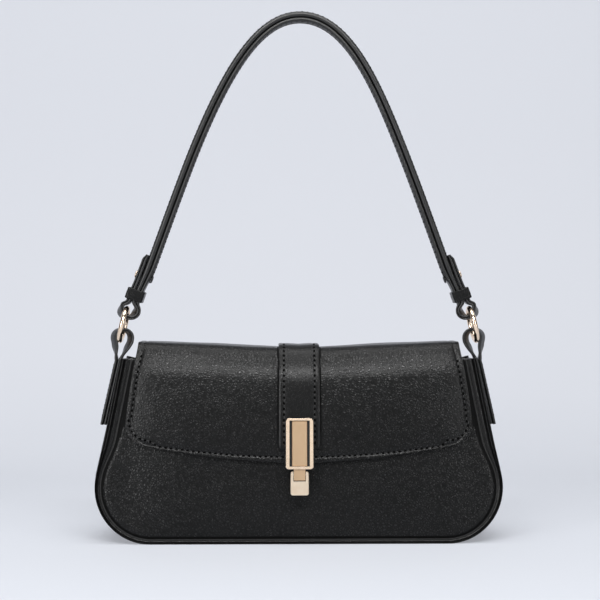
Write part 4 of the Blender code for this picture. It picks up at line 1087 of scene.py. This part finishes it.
def strap_route():
    """From the right tail's end, round the right ring, over the crown and down to the left tail."""
    half = []
    for along in spread(TAIL_ALONG, loop_centre, 60):
        half.append((*strap_place(along, tail_across(along)), tail_thickness(along)))
    for angle in spread(math.pi, 2 * math.pi, 24)[1:-1]:
        along = loop_centre + loop_wall * math.sin(angle)
        half.append((*strap_place(along, loop_wall * math.cos(angle)), STRAP_END_THICKNESS))
    for along in spread(loop_centre, STRAP_LEG_ALONG, 44)[:-1]:
        half.append((*strap_place(along, leg_across(along)), strap_thickness(along)))
    start = Vector(strap_place(STRAP_LEG_ALONG, STRAP_LEG_ACROSS))
    low_handle = start + strap_along * ((STRAP_CROWN_Z - start.y) * STRAP_RISE_SHARE)
    high_handle = Vector((start.x * STRAP_CROWN_SHARE, STRAP_CROWN_Z))
    crown_point = Vector((0, STRAP_CROWN_Z))
    for t in spread(0, 1, 90)[:-1]:
        point = start * (1 - t) ** 3 + low_handle * (3 * t * (1 - t) ** 2)
        point += high_handle * (3 * t * t * (1 - t)) + crown_point * t**3
        half.append((point.x, point.y, STRAP_THICKNESS))
    whole = half + [(0.0, STRAP_CROWN_Z, STRAP_THICKNESS)] + [(-x, z, t) for x, z, t in reversed(half)]
    return [(x + CROWN_DRIFT * rise(z, CROWN_DRIFT_LOW_Z, STRAP_CROWN_Z), z, t) for x, z, t in whole]


def strap_piece():
    """The strap: two turned plies with round painted edges and the seam between them."""
    plies = [(-0.5, 0.10), (0.14, 0.5)]
    route = strap_route()

    def skew(x, z):
        return math.copysign(STRAP_LOOP_SKEW * rise(z, loop_high_z, loop_high_z - STRAP_SKEW_RISE), x)

    strip_piece("strap_leather", route, plies, STRAP_WIDTH, "strap", "strap", skew)
    spots = [Vector((x, z)) for x, z, _ in route]
    ends = 112
    for face in (-1, 1):
        for side in (-1, 1):
            path, normals = [], []
            for i in range(ends, len(spots) - ends):
                along = (spots[i + 1] - spots[i - 1]).normalized()
                normal = Vector((-along.y, along.x)) * face
                place = spots[i] + normal * STRAP_THICKNESS / 2
                path.append(Vector((place.x, side * (STRAP_WIDTH / 2 - STRAP_STITCH_INSET), place.y)))
                normals.append(Vector((normal.x, 0, normal.y)))
            stitches(f"strap_stitches_{face + 2}_{side + 2}", path, normals, "strap")


# The keeper's section: share of its thickness, share of its height
KEEPER_SECTION = [
    (0.05, -0.5), (0.45, -0.5), (0.85, -0.47), (1.0, -0.38), (0.93, -0.30), (0.90, -0.26),
    (0.98, -0.18), (1.0, 0.0), (0.98, 0.18), (0.90, 0.26), (0.93, 0.30), (1.0, 0.38), (0.85, 0.47),
    (0.45, 0.5), (0.05, 0.5), (0.0, 0.42), (0.0, -0.42),
]


def keeper_piece(side):
    """The band that holds the tail: rounded outside, with a turned edge at each rim."""
    stops = (keeper_low, keeper_high)
    high = max(tail_thickness(stop) / 2 - tail_across(stop) for stop in stops) + FIT_GAP
    low = -max(leg_across(stop) + strap_thickness(stop) / 2 for stop in stops) - FIT_GAP
    stations = []
    for share, up in KEEPER_SECTION:
        extra = KEEPER_THICKNESS * share
        reach = STRAP_WIDTH / 2 + FIT_GAP + extra
        corners = round_corners((high - low) / 2 + extra, reach, KEEPER_THICKNESS / 3 + extra, 8)
        loop = []
        for across, y in sum(corners, []):
            x, z = strap_place(KEEPER_ALONG + up * KEEPER_HEIGHT, -(high + low) / 2 - across)
            loop.append((side * x, y, z))
        stations.append(loop)
    keeper = f"{side_name(side)}_keeper"
    add_piece(f"{keeper}_band", loft(stations, closed=True), [strap_grain], "strap", [keeper])


def ring_piece(side):
    """A round wire ring, its top leaning in over the bag."""
    radius = RING_OUTER_RADIUS - RING_WIRE_RADIUS
    centre = Vector((side * RING_CENTRE_X, 0, RING_CENTRE_Z))
    turned = Matrix.Rotation(-side * RING_LEAN, 3, "Y")
    stations = []
    for up, across in round_turn(96):
        loop = []
        for out, along in round_turn(24):
            reach = radius + RING_WIRE_RADIUS * out
            loop.append(centre + turned @ Vector((RING_WIRE_RADIUS * along, reach * across, reach * up)))
        stations.append(loop)
    ring = f"{side_name(side)}_ring"
    add_piece(f"{ring}_wire", loft(stations, closed=True), [gold], ring, [ring])


def gusset_side(z):
    """Half width over the gusset's bulge, on the bag's middle plane."""
    seam_z = z - side_normal.y * (SEAM_BASE_Z + GUSSET_BULGE)
    return seam_half_width(z, SEAM_BASE_Z + gusset_swell(seam_z))


def side_tab_piece(side):
    """The strip folded round the ring's foot: both plies show their painted edges."""
    half = SIDE_TAB_LEATHER / 2
    hole = SIDE_TAB_HOLE_HALF_WIDTH + half
    centre_x = RING_CENTRE_X + SIDE_TAB_HOLE_SHIFT
    centre_z = RING_CENTRE_Z - SIDE_TAB_REACH - half - hole
    loop = []
    for turn in spread(-SIDE_TAB_HOLE_TURN, math.pi + SIDE_TAB_HOLE_TURN, 40):
        x, z = centre_x + hole * math.cos(turn), centre_z + hole * math.sin(turn)
        loop.append((x, z - SIDE_TAB_HOLE_DROP * smooth((centre_z - z) / hole)))
    heights = spread(SIDE_TAB_LOW_Z, SIDE_TAB_NECK_Z - SIDE_TAB_NECK_GAP, 20)
    inner = [(gusset_side(z) + SIDE_TAB_STANDOFF + half, z) for z in heights]
    outer = [(x + SIDE_TAB_LEATHER + FIT_GAP, z) for x, z in inner]
    spots = eased(outer + loop[:1]) + loop[1:-1] + eased(loop[-1:] + inner[::-1])
    route = [(side * x, z, SIDE_TAB_LEATHER) for x, z in spots]
    name = f"{side_name(side)}_side_tab"
    skew_low = SIDE_TAB_NECK_Z - SIDE_TAB_NECK_GAP / 2

    def skew(_, z):
        return side * SIDE_TAB_SKEW * rise(z, skew_low, skew_low + SIDE_TAB_SKEW_RISE * hole)

    strip_piece(f"{name}_leather", route, [(-0.5, 0.5)], SIDE_TAB_WIDTH, "bag_body", name, skew)
    for y in (-1, 1):
        across = y * (SIDE_TAB_WIDTH / 2 - SIDE_TAB_STITCH_INSET)
        path = [Vector((side * (x + half), across, z)) for x, z in outer[1:-1]]
        normals = [Vector((side, 0, 0.1))] * len(path)
        stitches(f"{name}_stitches_{y + 2}", path, normals, "bag_body", FINE_STITCH_PITCH)


def eased(points):
    """The same points, with each long step cut into short ones."""
    made = [points[0]]
    for one, two in zip(points, points[1:]):
        steps = max(1, int(math.dist(one, two) / STRIP_STEP))
        made += list(zip(spread(one[0], two[0], steps), spread(one[1], two[1], steps)))[1:]
    return made


# Inside of the bag
lining_out = SEAM_BASE_Z - GUSSET_THICKNESS - BOARD_THICKNESS - 2 * FIT_GAP
lining_floor = SEAM_BASE_Z - lining_out


def lining_loop(z, inset, folded):
    """A loop round the lining at a height, inset from its outside, with a share of its soft folds."""
    half_w = seam_half_width(max(z, lining_floor), lining_out) - inset
    half_d = half_depth(z) - PANEL_THICKNESS - LINING_STANDOFF - inset
    corners = round_corners(half_w, half_d, LINING_CORNER_RADIUS, 6)
    loop = []
    for here, after, steps in zip(corners, corners[1:] + corners[:1], (48, 12, 48, 12)):
        start, stop = here[-1], after[0]
        loop += here + list(zip(spread(start[0], stop[0], steps), spread(start[1], stop[1], steps)))[1:-1]
    made = []
    for x, y in loop:
        pull = folded * (LINING_FOLDS[0] + waves(x, y, z * 0.35, LINING_FOLDS))
        made.append((x, y - math.copysign(pull, y), z))
    return made


def lining_piece():
    heights = [lining_floor + (SEAM_TOP_Z - lining_floor) * share**1.3 for share in spread(0, 1, 26)]
    outer = [lining_loop(z, 0.0, 0.0) for z in heights]
    inner = []
    for z in reversed(heights):
        up = min(1.0, (z - lining_floor) / LINING_EASE)
        up *= min(1.0, (SEAM_TOP_Z - LINING_EASE - z) / LINING_EASE)
        low = max(z, lining_floor + LINING_THICKNESS)
        inner.append(lining_loop(low, LINING_THICKNESS, max(0.0, up)))
    add_piece("lining_cloth_bag", loft(outer + inner), [cloth], "bag_body", ["lining"])


def facing_piece(side):
    """The leather band inside the mouth: turned edges and one line of stitches."""
    behind = PANEL_THICKNESS + LINING_STANDOFF + LINING_THICKNESS + FIT_GAP
    low = SEAM_TOP_Z - FACING_HEIGHT
    outer, inner = [], []
    for z in spread(low, SEAM_TOP_Z, 22):
        half = seam_half_width(z, lining_out - LINING_THICKNESS - FIT_GAP)
        y = half_depth(z) - behind
        front = y - FACING_THICKNESS + hump(z - low - FACING_STITCH_INSET, FACING_VALLEY)
        xs = spread(-half, half, 90)
        inner.append([(x, side * y, z) for x in xs])
        outer.append([(x, side * (front + waves(x, side, z, FACING_WAVES)), z) for x in xs])
    name = "front_facing" if side < 0 else "back_facing"
    add_piece(f"{name}_band", shell(outer, inner), [strap_grain, suede, edge_paint], "bag_body", [name])
    z = low + FACING_STITCH_INSET
    y = side * (half_depth(z) - behind - FACING_THICKNESS + FACING_STITCH_SUNK)
    path = [Vector((x, y, z)) for x in spread(-FACING_STITCH_REACH, FACING_STITCH_REACH, 216)]
    normals = [Vector((0, -side, 0))] * len(path)
    stitches(f"{name}_stitches", path, normals, "bag_body", FINE_STITCH_PITCH, 0.0)


def patch_piece():
    """The cloth patch that holds the magnet behind the front panel: a square with slightly puffed faces."""
    low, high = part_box("magnet_patch")
    centre = (Vector(low) + Vector(high)) / 2
    places = spread(-PATCH_HALF_WIDTH, PATCH_HALF_WIDTH, 12)
    bow = [math.cos(place / PATCH_HALF_WIDTH * 1.5) for place in places]
    rows_out, rows_in = [], []
    for up, bow_up in zip(places, bow):
        y, z = centre.y + up * math.tan(body_lean), centre.z + up
        front = [PATCH_FRONT + PATCH_PUFF * bow_x * bow_up for bow_x in bow]
        rows_out.append([(x, y + out, z) for x, out in zip(places, front)])
        rows_in.append([(x, y - PATCH_BACK, z) for x in places])
    form = shell(rows_out, rows_in)
    add_piece("magnet_patch_cloth", form, [cloth] * 3, "bag_body", ["magnet_patch"])


body_panel("front_body_panel", -1)
body_panel("back_body_panel", 1)
welt_piece("front_piped_welt", -1)
welt_piece("back_piped_welt", 1)
gusset_piece()
flap_sheet()
flap_stitches()
closure_tab()
strap_piece()
lining_piece()
for side in (-1, 1):
    keeper_piece(side)
    side_tab_piece(side)
    facing_piece(side)
    ring_piece(side)
patch_piece()

# Finishes of the hard CAD pieces
steel_parts = ["clasp_back_plate", "lower_clasp_screw", "upper_clasp_screw"]
steel_parts += ["tongue_pin", "tongue_armature", "catch_magnet"]
finishes = [
    (frame_gold, ["clasp_frame"]),
    (satin, ["clasp_bar"]),
    (tongue_gold_highlit, ["clasp_tongue"]),
    (gold, ["left_stud", "right_stud"]),
    (edge_paint, ["left_stud_cap", "right_stud_cap"]),
    (steel, steel_parts),
    (fibreboard, ["base_board"]),
]
for kind, names in finishes:
    for place in (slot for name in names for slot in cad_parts[name].material_slots):
        place.material = kind


# Floor, backdrop and light
SWEEP_HALF_WIDTH = 3.0
SWEEP_NEAR = -2.2
SWEEP_FAR = 0.30
SWEEP_RADIUS = 0.35
SWEEP_HEIGHT = 2.4
LIGHT_TARGET = Vector((0, 0, 0.08))
BACKGROUND_COLOUR = (0.69, 0.71, 0.77, 1)


def sweep_material():
    """The pale floor and backdrop: partly lit by itself, and clear from behind."""
    made, tree, shader = new_material("studio_sweep")
    feed(shader, "Base Color", (0.52, 0.54, 0.58, 1))
    feed(shader, "Roughness", 0.9)
    feed(shader, "Specular IOR Level", 0.1)
    height = node(tree, "SeparateXYZ", {"Vector": object_place(tree)}).outputs["Z"]
    up = mapped(tree, height, (0.0, 0.5))
    tint = ramp(tree, up, [(0.0, (0.72, 0.74, 0.80)), (0.2, (0.74, 0.76, 0.82)), (1.0, (0.71, 0.73, 0.79))])
    glow = node(tree, "Emission", {"Color": tint, "Strength": 1.0})
    rays = node(tree, "LightPath").outputs
    seen = rays["Is Camera Ray"]
    for kind in ("Is Glossy Ray", "Is Transmission Ray"):
        seen = maths(tree, "MAXIMUM", seen, rays[kind])
    share = maths(tree, "MULTIPLY", seen, mapped(tree, height, (0.0, 0.06), (0.4, 0.7)))
    both = node(tree, "MixShader", {0: share, 1: shader.outputs[0], 2: glow.outputs[0]})
    behind = node(tree, "NewGeometry").outputs["Backfacing"]
    clear = node(tree, "BsdfTransparent")
    sided = node(tree, "MixShader", {0: behind, 1: both.outputs[0], 2: clear.outputs[0]})
    feed(tree.nodes["Material Output"], "Surface", sided.outputs[0])
    return made


def studio_sweep():
    """A floor that turns up into a backdrop."""
    line = [(y, 0.0) for y in spread(SWEEP_NEAR, SWEEP_FAR, 12)]
    for turn in spread(0, math.pi / 2, 16)[1:]:
        line.append((SWEEP_FAR + SWEEP_RADIUS * math.sin(turn), SWEEP_RADIUS * (1 - math.cos(turn))))
    line.append((SWEEP_FAR + SWEEP_RADIUS, SWEEP_HEIGHT))
    points = []
    for y, z in line:
        points += [(-SWEEP_HALF_WIDTH, y, z), (SWEEP_HALF_WIDTH, y, z)]
    faces = [(a, a + 1, a + 3, a + 2) for a in range(0, len(points) - 2, 2)]
    mesh = bpy.data.meshes.new("studio_sweep")
    mesh.from_pydata(points, [], faces)
    mesh.shade_smooth()
    mesh.materials.append(sweep_material())
    obj = bpy.data.objects.new("studio_sweep", mesh)
    bpy.context.scene.collection.objects.link(obj)


def area_light(name, place, size, power):
    lamp = bpy.data.lights.new(name, "AREA")
    lamp.shape = "RECTANGLE"
    lamp.size, lamp.size_y = size
    lamp.energy = power
    obj = bpy.data.objects.new(name, lamp)
    aim = LIGHT_TARGET - Vector(place)
    obj.matrix_world = Matrix.Translation(place) @ aim.to_track_quat("-Z", "Y").to_matrix().to_4x4()
    bpy.context.scene.collection.objects.link(obj)


studio_sweep()
area_light("left_softbox", (-0.80, -1.02, 0.36), (0.18, 0.60), 7.5)
area_light("right_softbox", (0.80, -1.02, 0.36), (0.18, 0.60), 3.2)
area_light("upper_softbox", (0.0, -0.98, 0.95), (1.10, 0.16), 17.0)
area_light("overhead_panel", (0.0, -0.20, 1.35), (1.30, 0.60), 12.0)
area_light("front_panel_light", (0.0, -1.50, 0.26), (0.50, 0.26), 0.41)

world = bpy.data.worlds.new("studio")
world.use_nodes = True
tree = world.node_tree
ambient = tree.nodes["Background"]
feed(ambient, "Color", (0.86, 0.89, 0.95, 1))
feed(ambient, "Strength", 0.08)
backdrop = node(tree, "Background", {"Color": BACKGROUND_COLOUR, "Strength": 1.0})
seen = node(tree, "LightPath").outputs["Is Camera Ray"]
shown = node(tree, "MixShader", {0: seen, 1: ambient.outputs[0], 2: backdrop.outputs[0]})
feed(tree.nodes["World Output"], "Surface", shown.outputs[0])
bpy.context.scene.world = world

# Camera at the photograph's angle, level with the middle of the picture
CAMERA_ORBIT = math.radians(-1.1)
CAMERA_DISTANCE = 0.933
CAMERA_HEIGHT = 0.157
CAMERA_SHIFT = 0.001
CAMERA_VIEW_ANGLE = 2 * math.atan(300 / 1400)
camera = bpy.data.cameras.new("camera")
camera.angle = CAMERA_VIEW_ANGLE
camera_object = bpy.data.objects.new("camera", camera)
camera_object.location = (
    CAMERA_DISTANCE * math.sin(CAMERA_ORBIT) + CAMERA_SHIFT,
    -CAMERA_DISTANCE * math.cos(CAMERA_ORBIT),
    CAMERA_HEIGHT,
)
camera_object.rotation_euler = (math.pi / 2, 0, CAMERA_ORBIT)
bpy.context.scene.collection.objects.link(camera_object)
bpy.context.scene.camera = camera_object
bpy.context.scene.view_settings.view_transform = "Standard"
